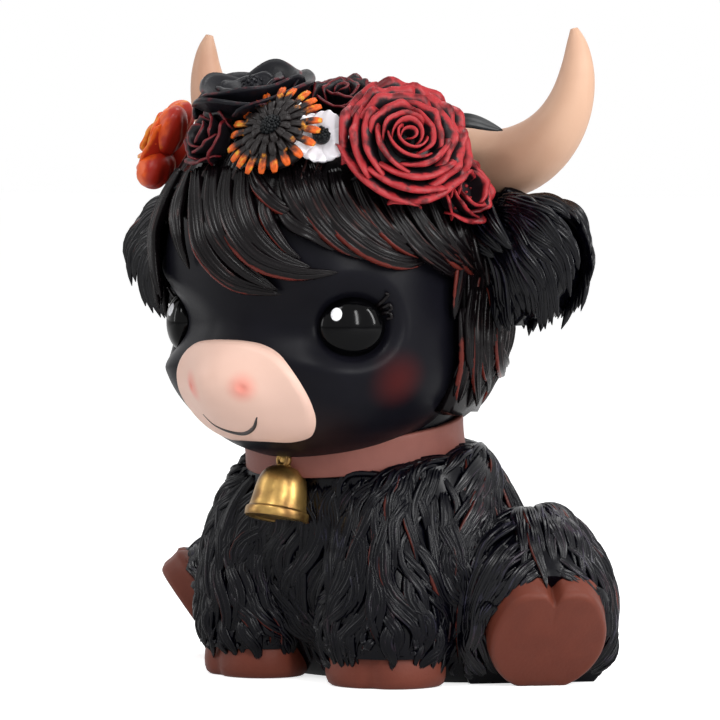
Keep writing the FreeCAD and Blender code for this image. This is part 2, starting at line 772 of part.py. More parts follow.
def build_bell(collar, torso, head):
    height = read("bell_height")
    mouth = read("bell_mouth_radius")
    wall = read("bell_wall")
    sink = read("bell_mouth_depth")

    def bend(shares):
        return Part.Arc(*[Vector(mouth * out, 0, -height * down) for out, down in shares]).toShape()

    lip = Vector(mouth, 0, -height)
    lip_top = Vector(mouth, 0, -height * bell_lip_shares[-1][1])
    inner_lip = Vector(mouth - wall, 0, -height)
    inner_bend = Vector(mouth / 2, 0, sink * 4 / 5 - height)
    inner_top = Vector(0, 0, sink - height)
    edges = [
        bend(bell_top_shares), bend(bell_side_shares), bend(bell_lip_shares),
        Part.LineSegment(lip_top, lip).toShape(),
        Part.LineSegment(lip, inner_lip).toShape(),
        Part.Arc(inner_lip, inner_bend, inner_top).toShape(),
        Part.LineSegment(inner_top, Vector(0, 0, 0)).toShape()]
    shape = Part.Face(Part.Wire(edges)).revolve(Vector(0, 0, 0), Vector(0, 0, 1), 360)
    bell = shaped("bell_mass", shape)
    place(bell, "0", "-sizes.bell_forward", "sizes.bell_top_level", "0", "0", "-sizes.bell_lean")
    bell = keep("bell", cut("bell_casting", bell, collar, torso, head))
    loop = doc.addObject("Part::Torus", "bell_loop_ring")
    bind(loop, Radius1="sizes.loop_radius", Radius2="sizes.loop_wire_radius")
    place(loop, "0", "-sizes.bell_forward - sizes.loop_wire_radius",
          "sizes.bell_top_level + sizes.loop_radius / 2", "0", "90")
    keep("bell_loop", main_piece("bell_loop", cut("bell_loop_trimmed", loop, bell, collar, torso, head)))


# Petal rings of a full rose: foot radius, rim radius, foot height and rim height as shares of
# the flower's radius and height, then how many petals stand in the ring.
rose_ring_shares = [
    (0.50, 1.00, 0.30, 0.52, 5),
    (0.42, 0.80, 0.35, 0.76, 5),
    (0.32, 0.59, 0.40, 0.92, 4),
    (0.18, 0.38, 0.45, 1.00, 3),
]
small_rose_ring_shares = [
    (0.42, 1.00, 0.30, 0.65, 4),
    (0.26, 0.66, 0.40, 0.90, 3),
]
poppy_ring_shares = [
    (0.35, 1.00, 0.35, 0.80, 4),
    (0.28, 0.72, 0.45, 1.00, 3),
]
orange_ring_shares = [
    (0.45, 1.00, 0.25, 0.60, 3),
    (0.30, 0.78, 0.35, 0.88, 3),
    (0.15, 0.50, 0.45, 1.00, 3),
]


def petal(foot_radius, rim_radius, foot_height, rim_height, arc):
    thick = read("petal_thickness")
    rise = rim_height - foot_height
    reach = rim_radius - foot_radius
    foot = Vector(foot_radius, 0, foot_height)
    rim = Vector(rim_radius, 0, rim_height)
    belly = Vector(foot_radius + reach * 3 / 4, 0, foot_height + rise / 3)
    inner_rim = Vector(rim_radius - thick, 0, rim_height + thick / 4)
    inner_foot = Vector(foot_radius - thick, 0, foot_height + thick)
    inner_belly = belly + Vector(-thick, 0, thick)
    wire = Part.Wire([
        Part.Arc(foot, belly, rim).toShape(),
        Part.LineSegment(rim, inner_rim).toShape(),
        Part.Arc(inner_rim, inner_belly, inner_foot).toShape(),
        Part.LineSegment(inner_foot, foot).toShape()])
    return Part.Face(wire).revolve(Vector(0, 0, 0), Vector(0, 0, 1), arc)


# A flower of curved petals that stand in rings on a domed heart. Its foot tapers down into
# the hair, where it is cut to the hair's own surface.
def petal_flower(name, rings):
    radius = read(f"{name}_radius")
    height = read(f"{name}_height")
    dome = Part.makeCone(radius / 3, radius * 7 / 10, height * 9 / 8, Vector(0, 0, -height * 3 / 4))
    heart = Part.makeCone(radius * 7 / 10, radius / 5, height * 3 / 8, Vector(0, 0, height * 3 / 8))
    parts = [heart]
    for index, (foot, rim, low, high, count) in enumerate(rings):
        spacing = 360 / count
        for turn in range(count):
            blade = petal(radius * foot, radius * rim, height * low, height * high, spacing * 11 / 12)
            blade.rotate(Vector(0, 0, 0), Vector(0, 0, 1), spacing * (turn + index / 2))
            parts.append(blade)
    return shaped(f"{name}_form", dome.fuse(parts))


def patterned_flower(name):
    body = doc.addObject("PartDesign::Body", f"{name}_body")
    size = f"sizes.{name}"
    heart = "6 / 10"
    sketch = outline(body, f"{name}_heart_section", "XZ_Plane", [
        ("0", f"-{size}_height"), (f"{size}_radius * 3 / 10", f"-{size}_height"),
        (f"{size}_radius * {heart}", f"{size}_height / 4"), ("0", f"{size}_height / 2")])
    revolved(body, f"{name}_heart", sketch)
    half = f"{size}_petal_width / 2"
    length = f"{size}_radius"
    petal_sketch = outline(body, f"{name}_petal_outline", "XY_Plane", [
        ("0", f"-{half} / 2"), (f"{length} * 7 / 10", f"-{half}"),
        (f"{length} * 19 / 20", f"-{half} * 4 / 5"), (length, f"-{half} / 3"), (length, f"{half} / 3"),
        (f"{length} * 19 / 20", f"{half} * 4 / 5"), (f"{length} * 7 / 10", half), ("0", f"{half} / 2")])
    pad = body.newObject("PartDesign::Pad", f"{name}_petal")
    pad.Profile = petal_sketch
    pad.Type = "Length"
    bind(pad, Length=f"{size}_petal_thickness")
    doc.recompute()
    pattern = body.newObject("PartDesign::PolarPattern", f"{name}_petal_ring")
    pattern.Originals = [pad]
    pattern.Axis = (petal_sketch, ["N_Axis"])
    pattern.Angle = 360
    bind(pattern, Occurrences=f"{size}_petals")
    body.Tip = pattern
    return body


# Where each flower sits on the hair: sideways, forwards and upwards from the hair's own
# middle, as shares of its half width, half depth and height, and then the way it faces:
# bearing round the head and angle above level.
flower_seat_shares = {
    "large_rose": (0.72, 0.305, 0.875, 60, 30),
    "poppy": (-0.126, 0.444, 0.955, -5, 62),
    "gerbera": (0.259, 0.681, 0.908, 5, 28),
    "orange_flower": (-0.775, 0.28, 0.85, -75, 25),
    "small_rose": (0.908, 0.019, 0.761, 85, 15),
    "rear_rose": (0.25, 0.15, 0.985, 35, 60),
    "anemone": (0.487, 0.605, 0.918, 38, 28),
    "dark_rose": (-0.30, 0.72, 0.885, -35, 25),
}


def seat(piece, name, lift="0"):
    side, ahead, up, bearing, rise = flower_seat_shares[name]
    away = f"({lift})"
    x = f"{hair_half_width} * {side} + {away} * cos({rise}) * sin({bearing})"
    y = f"{hair_centre} - {hair_half_depth} * {ahead} - {away} * cos({rise}) * cos({bearing})"
    z = f"sizes.hair_bottom + sizes.hair_height * {up} + {away} * sin({rise})"
    return place(piece, x, y, z, f"{bearing} - 90", f"90 - {rise}")


# The room that a flower takes up, as a share of its size, cuts the smaller flowers beside it.
room_share = 0.96
wide_room_shares = {"anemone": 1.3, "poppy": 1.2}


def room_of(name):
    share = wide_room_shares.get(name, room_share)
    radius = f"sizes.{name}_radius * {share}"
    room = ellipsoid(f"{name}_room", radius, radius, f"sizes.{name}_height * {share}")
    return seat(room, name)


# A small domed button at the anemone's heart, seated on its petals.
def anemone_button(petals):
    button = ellipsoid("anemone_button", "sizes.anemone_centre_radius",
                       "sizes.anemone_centre_radius", "sizes.anemone_centre_radius")
    seat(button, "anemone", "sizes.anemone_height / 2")
    return keep("anemone_centre", cut("anemone_centre_casting", button, petals))


# Leaves that stick out between the flowers: start, middle and tip of each one, sideways,
# forwards and upwards from the hair's own middle, as shares like the flower seats.
leaf_path_shares = {
    "upper_leaf": ((0.70, -0.08, 0.84), (0.88, -0.08, 0.95), (1.10, -0.14, 0.915)),
    "side_leaf": ((0.92, -0.22, 0.74), (1.25, -0.14, 0.83), (1.50, -0.12, 0.765)),
    "hanging_leaf": ((-0.70, 0.50, 0.86), (-0.83, 0.74, 0.84), (-0.80, 0.76, 0.72)),
}


def build_leaves(hair_solid, horn, ear):
    middle = number(hair_centre)
    width = number(hair_half_width)
    depth = number(hair_half_depth)
    bottom = read("hair_bottom")
    height = read("hair_height")
    swell = [(0.00, 0.60), (0.30, 1.00), (0.60, 0.95), (0.85, 0.55)]
    for name, shares in leaf_path_shares.items():
        spots = [Vector(width * side, middle - depth * ahead, bottom + height * up)
                 for side, ahead, up in shares]
        outward = Vector(0, 0, 1) if shares[0][0] > 0 else Vector(-1, -1, 0)
        blade = lock(spots, read("leaf_half_width"), read("leaf_half_thickness"), outward, swell)
        leaf = shaped(f"{name}_form", blade)
        keep(name, cut(f"{name}_casting", leaf, hair_solid, horn, ear))


def build_flowers(hair_solid, horn, ear):
    forms = {
        "large_rose": petal_flower("large_rose", rose_ring_shares),
        "anemone": patterned_flower("anemone"),
        "gerbera": patterned_flower("gerbera"),
        "poppy": petal_flower("poppy", poppy_ring_shares),
        "orange_flower": petal_flower("orange_flower", orange_ring_shares),
        "small_rose": petal_flower("small_rose", small_rose_ring_shares),
        "rear_rose": petal_flower("rear_rose", small_rose_ring_shares),
        "dark_rose": petal_flower("dark_rose", small_rose_ring_shares),
    }
    rooms = []
    for name, form in forms.items():
        seat(form, name)
        casting = keep(name, main_piece(name, cut(f"{name}_trimmed", form, hair_solid, *rooms)))
        if name == "anemone":
            anemone_button(casting)
        rooms.append(room_of(name))
    build_leaves(hair_solid, horn, ear)


def build():
    fore_hoof, hind_hoof, sole_room = build_hooves()
    head_solid, head = build_head()
    collar, collar_room = build_collar(head)
    torso_form = build_torso(head_solid, collar_room)
    torso = build_legs(torso_form, collar_room, fore_hoof, hind_hoof, sole_room)
    build_tail(torso)
    build_muzzle(head_solid)
    build_lashes(head)
    hair = hair_mass()
    sockets = []
    for socket in (build_ears(hair), build_horns(hair)):
        sockets += [socket, mirrored(f"right_{socket.Name}", socket)]
    build_hair(hair, head_solid, torso, collar, sockets)
    build_bell(collar, torso, head)
    build_flowers(hair, nodes["left_horn"], nodes["left_ear"])


def check():
    doc.recompute()
    faults = [f"{piece.Label}: {piece.State}" for piece in doc.Objects
              if "Invalid" in piece.State or "Error" in piece.State]
    for label, piece in nodes.items():
        shape = piece.Shape
        if shape.isNull() or not shape.isValid() or not shape.Solids:
            faults.append(f"{label}: bad shape")
    if faults:
        raise RuntimeError("; ".join(faults))


build()
check()
for label, piece in nodes.items():
    piece.Shape.exportStep(f"parts/{label}.step")
    print(label, len(piece.Shape.Solids), round(piece.Shape.Volume))
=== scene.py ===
import math
import random
import bpy
import numpy as np
from mathutils import Matrix, Vector
from mathutils.bvhtree import BVHTree


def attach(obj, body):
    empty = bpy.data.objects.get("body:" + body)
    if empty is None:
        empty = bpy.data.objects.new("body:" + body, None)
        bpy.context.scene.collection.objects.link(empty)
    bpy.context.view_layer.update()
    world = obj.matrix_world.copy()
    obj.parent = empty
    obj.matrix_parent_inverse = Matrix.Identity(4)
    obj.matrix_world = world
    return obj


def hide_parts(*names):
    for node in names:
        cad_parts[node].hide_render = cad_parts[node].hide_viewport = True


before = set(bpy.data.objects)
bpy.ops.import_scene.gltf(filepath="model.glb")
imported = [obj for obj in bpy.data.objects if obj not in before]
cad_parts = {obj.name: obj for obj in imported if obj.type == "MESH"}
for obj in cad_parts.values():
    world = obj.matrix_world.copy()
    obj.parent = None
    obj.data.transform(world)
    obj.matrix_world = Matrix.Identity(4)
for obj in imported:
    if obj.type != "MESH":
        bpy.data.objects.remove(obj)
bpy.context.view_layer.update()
mm = 0.001  # everything below is worked out in millimetres
chance = random.Random(7)
sides = ((1, "left"), (-1, "right"))
print("frame loaded")

# the photograph's camera
shot = {"azimuth": 40, "elevation": 2.5, "distance": 1157, "targetHeight": 73,
        "focalPixels": 4998, "frameSize": 720, "sensor": 36}


def facing(bearing, rise=0):
    a, e = math.radians(bearing), math.radians(rise)
    return Vector((math.sin(a) * math.cos(e), -math.cos(a) * math.cos(e), math.sin(e)))


lookBack = facing(shot["azimuth"], shot["elevation"])
lookRight = facing(shot["azimuth"] + 90)
lookUp = lookBack.cross(lookRight)
eyePoint = Vector((0, 0, shot["targetHeight"])) + lookBack * shot["distance"]


def makeCamera():
    lens = bpy.data.cameras.new("photoCamera")
    lens.sensor_width = shot["sensor"]
    lens.lens = shot["focalPixels"] * shot["sensor"] / shot["frameSize"]
    lens.clip_start, lens.clip_end = 0.01, 20
    camera = bpy.data.objects.new("photoCamera", lens)
    bpy.context.scene.collection.objects.link(camera)
    turn = Matrix((lookRight, lookUp, lookBack)).transposed().to_4x4()
    camera.matrix_world = Matrix.Translation(eyePoint * mm) @ turn
    bpy.context.scene.camera = camera


def photoRay(across, down):
    half = shot["frameSize"] / 2
    ray = lookRight * (across - half) + lookUp * (half - down) - lookBack * shot["focalPixels"]
    return ray.normalized()


# where a picture point lands on a surface, or the nearest place on it for a point just outside
def fromPhoto(tree, across, down):
    ray = photoRay(across, down)
    hit = tree.ray_cast(eyePoint, ray)
    if hit[0] is None:
        near = tree.find_nearest(eyePoint + ray * shot["distance"])
        return near[0], near[1]
    return hit[0], hit[1]


# a smooth curve through the table's pairs
def smoothTable(x, table):
    xs, ys = np.array(table, float).T
    slope = np.gradient(ys, xs)
    i = np.clip(np.searchsorted(xs, x, side="right") - 1, 0, len(xs) - 2)
    step = xs[i + 1] - xs[i]
    t = (x - xs[i]) / step
    rise = ys[i] * (1 + 2 * t) * (1 - t)**2 + ys[i + 1] * t**2 * (3 - 2 * t)
    return rise + step * (slope[i] * t * (1 - t)**2 - slope[i + 1] * t**2 * (1 - t))


def unit(rows):
    return rows / np.maximum(np.linalg.norm(rows, axis=-1, keepdims=True), 1e-9)


def fullTurn(spots):
    return np.arange(spots) / spots * 2 * math.pi


def turned(degrees, axis):
    return Matrix.Rotation(math.radians(degrees), 3, axis)


# rows of points with the bumps between neighbours evened out
def evened(rows, times):
    rows = np.array(rows)
    for _ in range(times):
        rows[1:-1] = (rows[:-2] + rows[1:-1] * 2 + rows[2:]) / 4
    return rows


def smoothPath(points, count):
    knots = np.array(points, float)
    if len(knots) < 3:
        knots = np.array([knots[0], knots.mean(0), knots[-1]])
    gaps = np.linalg.norm(np.diff(knots, axis=0), axis=1)
    along = np.concatenate([[0], np.cumsum(gaps)]) / max(gaps.sum(), 1e-9)
    t = np.linspace(0, 1, count)
    return np.stack([smoothTable(t, list(zip(along, knots[:, k]))) for k in range(3)], 1)


# materials

def paintNode(tree, kind, **settings):
    node = tree.nodes.new(kind)
    for key, value in settings.items():
        setattr(node, key, value)
    return node


# a socket takes a link from another node, or a plain value
def plug(tree, socket, value):
    if hasattr(value, "is_output"):
        tree.links.new(value, socket)
    elif socket.type == "RGBA" and len(value) == 3:
        socket.default_value = (*value, 1)
    else:
        socket.default_value = value


def mixColour(tree, factor, first, second):
    node = paintNode(tree, "ShaderNodeMix", data_type="RGBA")
    for index, value in ((0, factor), (6, first), (7, second)):
        plug(tree, node.inputs[index], value)
    return node.outputs[2]


def mathNode(tree, operation, first, second):
    node = paintNode(tree, "ShaderNodeMath", operation=operation)
    plug(tree, node.inputs[0], first)
    plug(tree, node.inputs[1], second)
    return node.outputs[0]


def rangeNode(tree, value, low, high, toLow=0.0, toHigh=1.0):
    node = paintNode(tree, "ShaderNodeMapRange", interpolation_type="SMOOTHSTEP")
    for socket, given in zip(node.inputs, (value, low, high, toLow, toHigh)):
        plug(tree, socket, given)
    return node.outputs[0]


def noiseNode(tree, scale, detail):
    place = tree.nodes.new("ShaderNodeTexCoord")
    noise = tree.nodes.new("ShaderNodeTexNoise")
    plug(tree, noise.inputs["Vector"], place.outputs["Object"])
    plug(tree, noise.inputs["Scale"], scale)
    noise.inputs["Detail"].default_value = detail
    return noise.outputs["Fac"]


# an empty node group: four numbers make a colour socket, three a place, and one a plain value
def newGroup(name, inputs, outputs):
    group = bpy.data.node_groups.new(name, "ShaderNodeTree")
    for label, value in inputs.items():
        kind = {1: "NodeSocketFloat", 3: "NodeSocketVector", 4: "NodeSocketColor"}[np.size(value)]
        socket = group.interface.new_socket(name=label, in_out="INPUT", socket_type=kind)
        socket.default_value = value
    for label in outputs:
        kind = "NodeSocketColor" if label == "colour" else "NodeSocketFloat"
        group.interface.new_socket(name=label, in_out="OUTPUT", socket_type=kind)
    return group, group.nodes.new("NodeGroupInput").outputs, group.nodes.new("NodeGroupOutput").inputs


black = (0.01, 0.01, 0.01, 1)


# dry brushing: paint left on the crests, in strokes, with another colour in the grooves
def buildDryBrush():
    group, given, result = newGroup("dryBrush", {
        "crest": 0.5, "deepColour": black, "crestColour": black, "coverage": 0.5,
        "strokeScale": 300.0}, ("colour", "mask"))
    strokes = mathNode(group, "SUBTRACT", noiseNode(group, given["strokeScale"], 5), 0.5)
    height = mathNode(group, "ADD", given["crest"], strokes)
    edge = mathNode(group, "SUBTRACT", 1.25, given["coverage"])
    mask = rangeNode(group, height, edge, mathNode(group, "ADD", edge, 0.3))
    plug(group, result["colour"], mixColour(group, mask, given["deepColour"], given["crestColour"]))
    plug(group, result["mask"], mask)
    return group


# a soft round patch of another colour, sprayed at a place on the surface
def buildSoftPatch():
    group, given, result = newGroup("softPatch", {
        "baseColour": black, "patchColour": black, "centre": (0, 0, 0), "radius": 0.01,
        "amount": 1.0}, ("colour",))
    place = group.nodes.new("ShaderNodeTexCoord")
    gap = paintNode(group, "ShaderNodeVectorMath", operation="DISTANCE")
    plug(group, gap.inputs[0], place.outputs["Object"])
    plug(group, gap.inputs[1], given["centre"])
    share = mathNode(group, "DIVIDE", gap.outputs["Value"], given["radius"])
    mask = mathNode(group, "MULTIPLY", rangeNode(group, share, 0.0, 1.0, 1.0, 0.0), given["amount"])
    plug(group, result["colour"], mixColour(group, mask, given["baseColour"], given["patchColour"]))
    return group


# brushed-on paint: slight changes of shade, gloss and height
def buildHandPaint():
    group, given, result = newGroup("handPaint", {
        "baseColour": black, "shadeColour": black, "patchScale": 60.0, "amount": 0.5,
        "roughness": 0.5, "grainScale": 900.0}, ("colour", "roughness", "height"))
    patches = rangeNode(group, noiseNode(group, given["patchScale"], 5), 0.35, 0.7)
    mask = mathNode(group, "MULTIPLY", patches, given["amount"])
    grain = noiseNode(group, given["grainScale"], 3)
    uneven = mathNode(group, "MULTIPLY", mathNode(group, "SUBTRACT", grain, 0.5), 0.16)
    plug(group, result["colour"], mixColour(group, mask, given["baseColour"], given["shadeColour"]))
    plug(group, result["roughness"], mathNode(group, "ADD", given["roughness"], uneven))
    plug(group, result["height"], grain)
    return group


dryBrush = buildDryBrush()
softPatch = buildSoftPatch()
handPaint = buildHandPaint()


def useGroup(tree, group, **values):
    node = tree.nodes.new("ShaderNodeGroup")
    node.node_tree = group
    for label, value in values.items():
        plug(tree, node.inputs[label], value)
    return node.outputs


def newMaterial(name, specular=0.5, metallic=0.0):
    material = bpy.data.materials.new(name)
    material.use_nodes = True
    shader = material.node_tree.nodes["Principled BSDF"]
    shader.inputs["Specular IOR Level"].default_value = specular
    shader.inputs["Metallic"].default_value = metallic
    return material, material.node_tree, shader


# the shader takes the colour, and the painted group's gloss and grain, the grain depth in millimetres
def feed(tree, shader, colour, painted, strength, depth):
    bump = tree.nodes.new("ShaderNodeBump")
    bump.inputs["Strength"].default_value = strength
    bump.inputs["Distance"].default_value = depth * mm
    plug(tree, bump.inputs["Height"], painted["height"])
    plug(tree, shader.inputs["Base Color"], colour)
    plug(tree, shader.inputs["Roughness"], painted["roughness"])
    plug(tree, shader.inputs["Normal"], bump.outputs[0])


# a mark that the mesh carries: crest is the height on a strand or petal, pick the lock, edge its rim
def mark(tree, name):
    node = paintNode(tree, "ShaderNodeAttribute", attribute_type="GEOMETRY", attribute_name=name)
    return node.outputs["Fac"]


# sculpted strands: crests brushed with one colour, the edges of some locks lined with another
def strandMaterial(name, look):
    material, tree, shader = newMaterial(name, look["specular"])
    brushed = useGroup(tree, dryBrush, crest=mark(tree, "crest"), deepColour=look["deep"],
                       crestColour=look["crest"], coverage=look["coverage"], strokeScale=look["strokes"])
    patches = rangeNode(tree, noiseNode(tree, look["warmScale"], 3), 0.45, 0.62)
    warm = mixColour(tree, patches, brushed["colour"], look["warm"])
    warm = mixColour(tree, mathNode(tree, "MULTIPLY", brushed["mask"], 0.8), brushed["colour"], warm)
    low = 1 - look["tintShare"]
    picked = rangeNode(tree, mark(tree, "pick"), low, low + 0.08)
    lined = useGroup(tree, dryBrush, crest=mark(tree, "edge"), deepColour=warm, crestColour=look["tint"],
                     coverage=look["tintCoverage"], strokeScale=look["strokes"] * 2)
    colour = mixColour(tree, picked, warm, lined["colour"])
    painted = useGroup(tree, handPaint, roughness=look["roughness"], grainScale=look["grain"])
    feed(tree, shader, colour, painted, 0.10, 0.06)
    return material


furLook = {"deep": (0.0005, 0.0005, 0.0022), "crest": (0.0140, 0.0130, 0.0270), "coverage": 0.54,
           "warm": (0.026, 0.009, 0.008), "warmScale": 60, "tint": (0.085, 0.017, 0.012),
           "tintCoverage": 0.75, "tintShare": 0.25, "strokes": 230, "roughness": 0.25,
           "specular": 0.15, "grain": 700}
hairLook = {"deep": (0.0032, 0.0020, 0.0026), "crest": (0.0300, 0.0150, 0.0150), "coverage": 0.62,
            "warm": (0.066, 0.019, 0.015), "warmScale": 45, "tint": (0.115, 0.017, 0.012),
            "tintCoverage": 0.90, "tintShare": 0.45, "strokes": 200, "roughness": 0.25,
            "specular": 0.17, "grain": 700}
furMaterial = strandMaterial("sculptedFur", furLook)
# the fur of ears and thighs: glossier, and with paler crests, a painted highlight brighter than the body's
# fur
glossPaintedHighlightLook = dict(furLook, crest=(0.026, 0.024, 0.044), coverage=0.66, specular=0.26)  # ears and thighs
glossPaintedHighlightMaterial = strandMaterial("glossyFurPaintedHighlight", glossPaintedHighlightLook)
hairMaterial = strandMaterial("sculptedHair", hairLook)


paintedLook = {"patches": 90, "amount": 0.6, "grain": 900, "bump": 0.25, "bumpDepth": 0.1, "spots": [],
               "specular": 0.5, "metallic": 0.0}


# plain painted resin, with soft spots of other colours given by place, radius, colour and amount
def paintedMaterial(name, look):
    look = dict(paintedLook, **look)
    material, tree, shader = newMaterial(name, look["specular"], look["metallic"])
    painted = useGroup(tree, handPaint, baseColour=look["base"], shadeColour=look["shade"],
                       patchScale=look["patches"], amount=look["amount"],
                       roughness=look["roughness"], grainScale=look["grain"])
    colour = painted["colour"]
    for centre, radius, patch, amount in look["spots"]:
        colour = useGroup(tree, softPatch, baseColour=colour, patchColour=patch, amount=amount,
                          centre=[c * mm for c in centre], radius=radius * mm)["colour"]
    feed(tree, shader, colour, painted, look["bump"], look["bumpDepth"])
    return material


petalLook = {"roughness": 0.42, "strokes": 420, "glazeScale": 240, "specular": 0.25}


# petals: one colour in the folds, another on the rims, and a glaze worn through in small strokes
def petalMaterial(name, look):
    look = dict(petalLook, **look)
    material, tree, shader = newMaterial(name, look["specular"])
    brushed = useGroup(tree, dryBrush, crest=mark(tree, "crest"), deepColour=look["deep"],
                       crestColour=look["rim"], coverage=look["coverage"], strokeScale=look["strokes"])
    colour = brushed["colour"]
    if "glaze" in look:
        thin = rangeNode(tree, noiseNode(tree, look["glazeScale"], 4), 0.52, 0.66)
        colour = mixColour(tree, mathNode(tree, "MULTIPLY", thin, brushed["mask"]), colour, look["glaze"])
    painted = useGroup(tree, handPaint, roughness=look["roughness"], grainScale=1100)
    feed(tree, shader, colour, painted, 0.4, 0.12)
    return material


# meshes

def addPiece(name, points, faces, material, replaced=(), marks=None):
    mesh = bpy.data.meshes.new(name)
    mesh.from_pydata((np.asarray(points, float) * mm).tolist(), [], faces)
    mesh.polygons.foreach_set("use_smooth", [True] * len(mesh.polygons))
    for key, values in (marks or {}).items():
        layer = mesh.attributes.new(key, "FLOAT", "POINT")
        layer.data.foreach_set("value", np.asarray(values, np.float32))
    mesh.materials.append(material)
    mesh.update()
    piece = bpy.data.objects.new(name, mesh)
    bpy.context.scene.collection.objects.link(piece)
    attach(piece, "root")
    if replaced:
        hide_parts(*replaced)


class Batch:
    def __init__(self):
        self.points, self.faces, self.marks, self.count = [], [], {}, 0

    def add(self, points, faces, **marks):
        points = np.asarray(points, float).reshape(-1, 3)
        self.faces += [[corner + self.count for corner in face] for face in faces]
        self.points.append(points)
        for key in ("crest", "pick", "edge"):
            value = np.broadcast_to(np.asarray(marks.get(key, 0.0), float), (len(points),))
            self.marks.setdefault(key, []).append(value)
        self.count += len(points)

    def piece(self, name, material, slot, replaced=()):
        marks = {key: np.concatenate(values) for key, values in self.marks.items()}
        addPiece(name, np.concatenate(self.points), self.faces, material, replaced, marks)


# faces of a grid of rings by spots, closed round each ring, with the end rings capped if wanted
def ringFaces(rings, spots, capped=True):
    faces = []
    for r in range(rings - 1):
        for s in range(spots):
            n = (s + 1) % spots
            faces.append([r * spots + s, r * spots + n, (r + 1) * spots + n, (r + 1) * spots + s])
    if capped:
        faces.append(list(range(spots))[::-1])
        faces.append([(rings - 1) * spots + s for s in range(spots)])
    return faces


# a closed thin sheet made of a grid of outer and inner points
def sheetFaces(rows, cols):
    faces = []
    size = rows * cols
    for r in range(rows - 1):
        for c in range(cols - 1):
            a, b = r * cols + c, r * cols + c + 1
            d, e = a + cols, b + cols
            faces.append([a, b, e, d])
            faces.append([size + a, size + d, size + e, size + b])
    rim = list(range(cols)) + [r * cols + cols - 1 for r in range(1, rows)]
    rim += [(rows - 1) * cols + c for c in range(cols - 2, -1, -1)]
    rim += [r * cols for r in range(rows - 2, 0, -1)]
    for a, b in zip(rim, rim[1:] + rim[:1]):
        faces.append([b, a, size + a, size + b])
    return faces


faceCache = {}  # locks of the same size share their list of faces


# one sculpted lock: a tapering strip with rounded ridges along it, lying on a surface
def addLock(batch, path, normals, halfWidth, height, grooves, pick, rootShare=0.6, tipPower=3.2):
    count = len(path)
    t = np.linspace(0, 1, count)
    tangent = unit(np.gradient(path, axis=0))
    side = unit(np.cross(tangent, normals))
    up = np.cross(side, tangent)
    swell = (rootShare + (1 - rootShare) * np.minimum(1, t / 0.3)) * (1 - t**tipPower)**0.8 + 0.045
    s = np.linspace(-1, 1, 3 * grooves + 1)
    strand = np.minimum(np.floor((s + 1) / 2 * grooves), grooves - 1)
    ridge = 0.5 - 0.5 * np.cos(math.pi * grooves * (s + 1))
    ridge = ridge * (0.74 + 0.26 * np.cos(strand * 2.4 + pick * 19))
    dome = np.sqrt(1 - 0.94 * s**2)
    top = dome * (0.45 + 0.55 * ridge)
    uneven = s + 0.13 * (1 - s * s) * np.sin(3 * s + pick * 23)
    across = np.concatenate([uneven, [0.55, -0.55]])
    lift = np.concatenate([top, [-0.5, -0.5]])
    crest = np.concatenate([0.15 + 0.85 * ridge * (0.55 + 0.45 * dome), [0, 0]])
    wide = (halfWidth * swell)[:, None, None]
    high = (height * swell**0.7)[:, None, None]
    points = path[:, None] + side[:, None] * across[None, :, None] * wide \
        + up[:, None] * lift[None, :, None] * high
    points[..., 2] = np.maximum(points[..., 2], 0.05)
    key = (count, len(across))
    if key not in faceCache:
        faceCache[key] = ringFaces(*key)
    shade = crest[None] * (0.55 + 0.45 * np.sin(np.pi * t**0.8))[:, None]
    line = np.exp(-((across - 0.84) / 0.2)**2)[None] * np.sin(np.pi * np.minimum(1, t * 1.05)**1.4)[:, None]
    batch.add(points, faceCache[key], crest=shade.ravel(), pick=pick, edge=line.ravel())


# surfaces that the fur lies on

farLeg = {"above": 14, "share": 0.64}  # the far hind leg is drawn lower than its casting from here up


def castingOf(name):
    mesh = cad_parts[name].data
    mesh.calc_loop_triangles()
    points = np.array([v.co[:] for v in mesh.vertices]) / mm
    if name == "right_hind_leg":
        over = points[:, 2] - farLeg["above"]
        points[:, 2] = np.where(over > 0, farLeg["above"] + over * farLeg["share"], points[:, 2])
    return points, np.array([t.vertices[:] for t in mesh.loop_triangles])


def solidTree(*names):
    points, faces = [], []
    base = 0
    for name in names:
        corners, tris = castingOf(name)
        points += [Vector(p) for p in corners]
        faces += (tris + base).tolist()
        base += len(corners)
    return BVHTree.FromPolygons(points, faces)


def gridTree(points, rings, spots):
    return BVHTree.FromPolygons([Vector(p) for p in points], ringFaces(rings, spots))


# places spread evenly over CAD nodes, where keep says yes to the place and its outward direction
def scatter(names, spacing, keep, seed):
    dice = np.random.default_rng(seed)
    taken = {}
    spots = []
    for name in names:
        corners, tris = castingOf(name)
        a, b, c = corners[tris[:, 0]], corners[tris[:, 1]], corners[tris[:, 2]]
        cross = np.cross(b - a, c - a)
        area = np.linalg.norm(cross, axis=1) / 2
        count = int(area.sum() / spacing**2 * 8)  # eight tries for each place
        chosen = dice.choice(len(tris), count, p=area / area.sum())
        u, v = dice.random(count), dice.random(count)
        flip = u + v > 1
        u[flip], v[flip] = 1 - u[flip], 1 - v[flip]
        places = a[chosen] + (b - a)[chosen] * u[:, None] + (c - a)[chosen] * v[:, None]
        normals = unit(cross[chosen])
        for p, n in zip(places, normals):
            if not keep(p, n):
                continue
            cell = tuple((p // spacing).astype(int))
            near = [q for dx in (-1, 0, 1) for dy in (-1, 0, 1) for dz in (-1, 0, 1)
                    for q in taken.get((cell[0] + dx, cell[1] + dy, cell[2] + dz), [])]
            if any(np.sum((q - p)**2) < spacing**2 for q in near):
                continue
            taken.setdefault(cell, []).append(p)
            spots.append(Vector(p))
    return spots


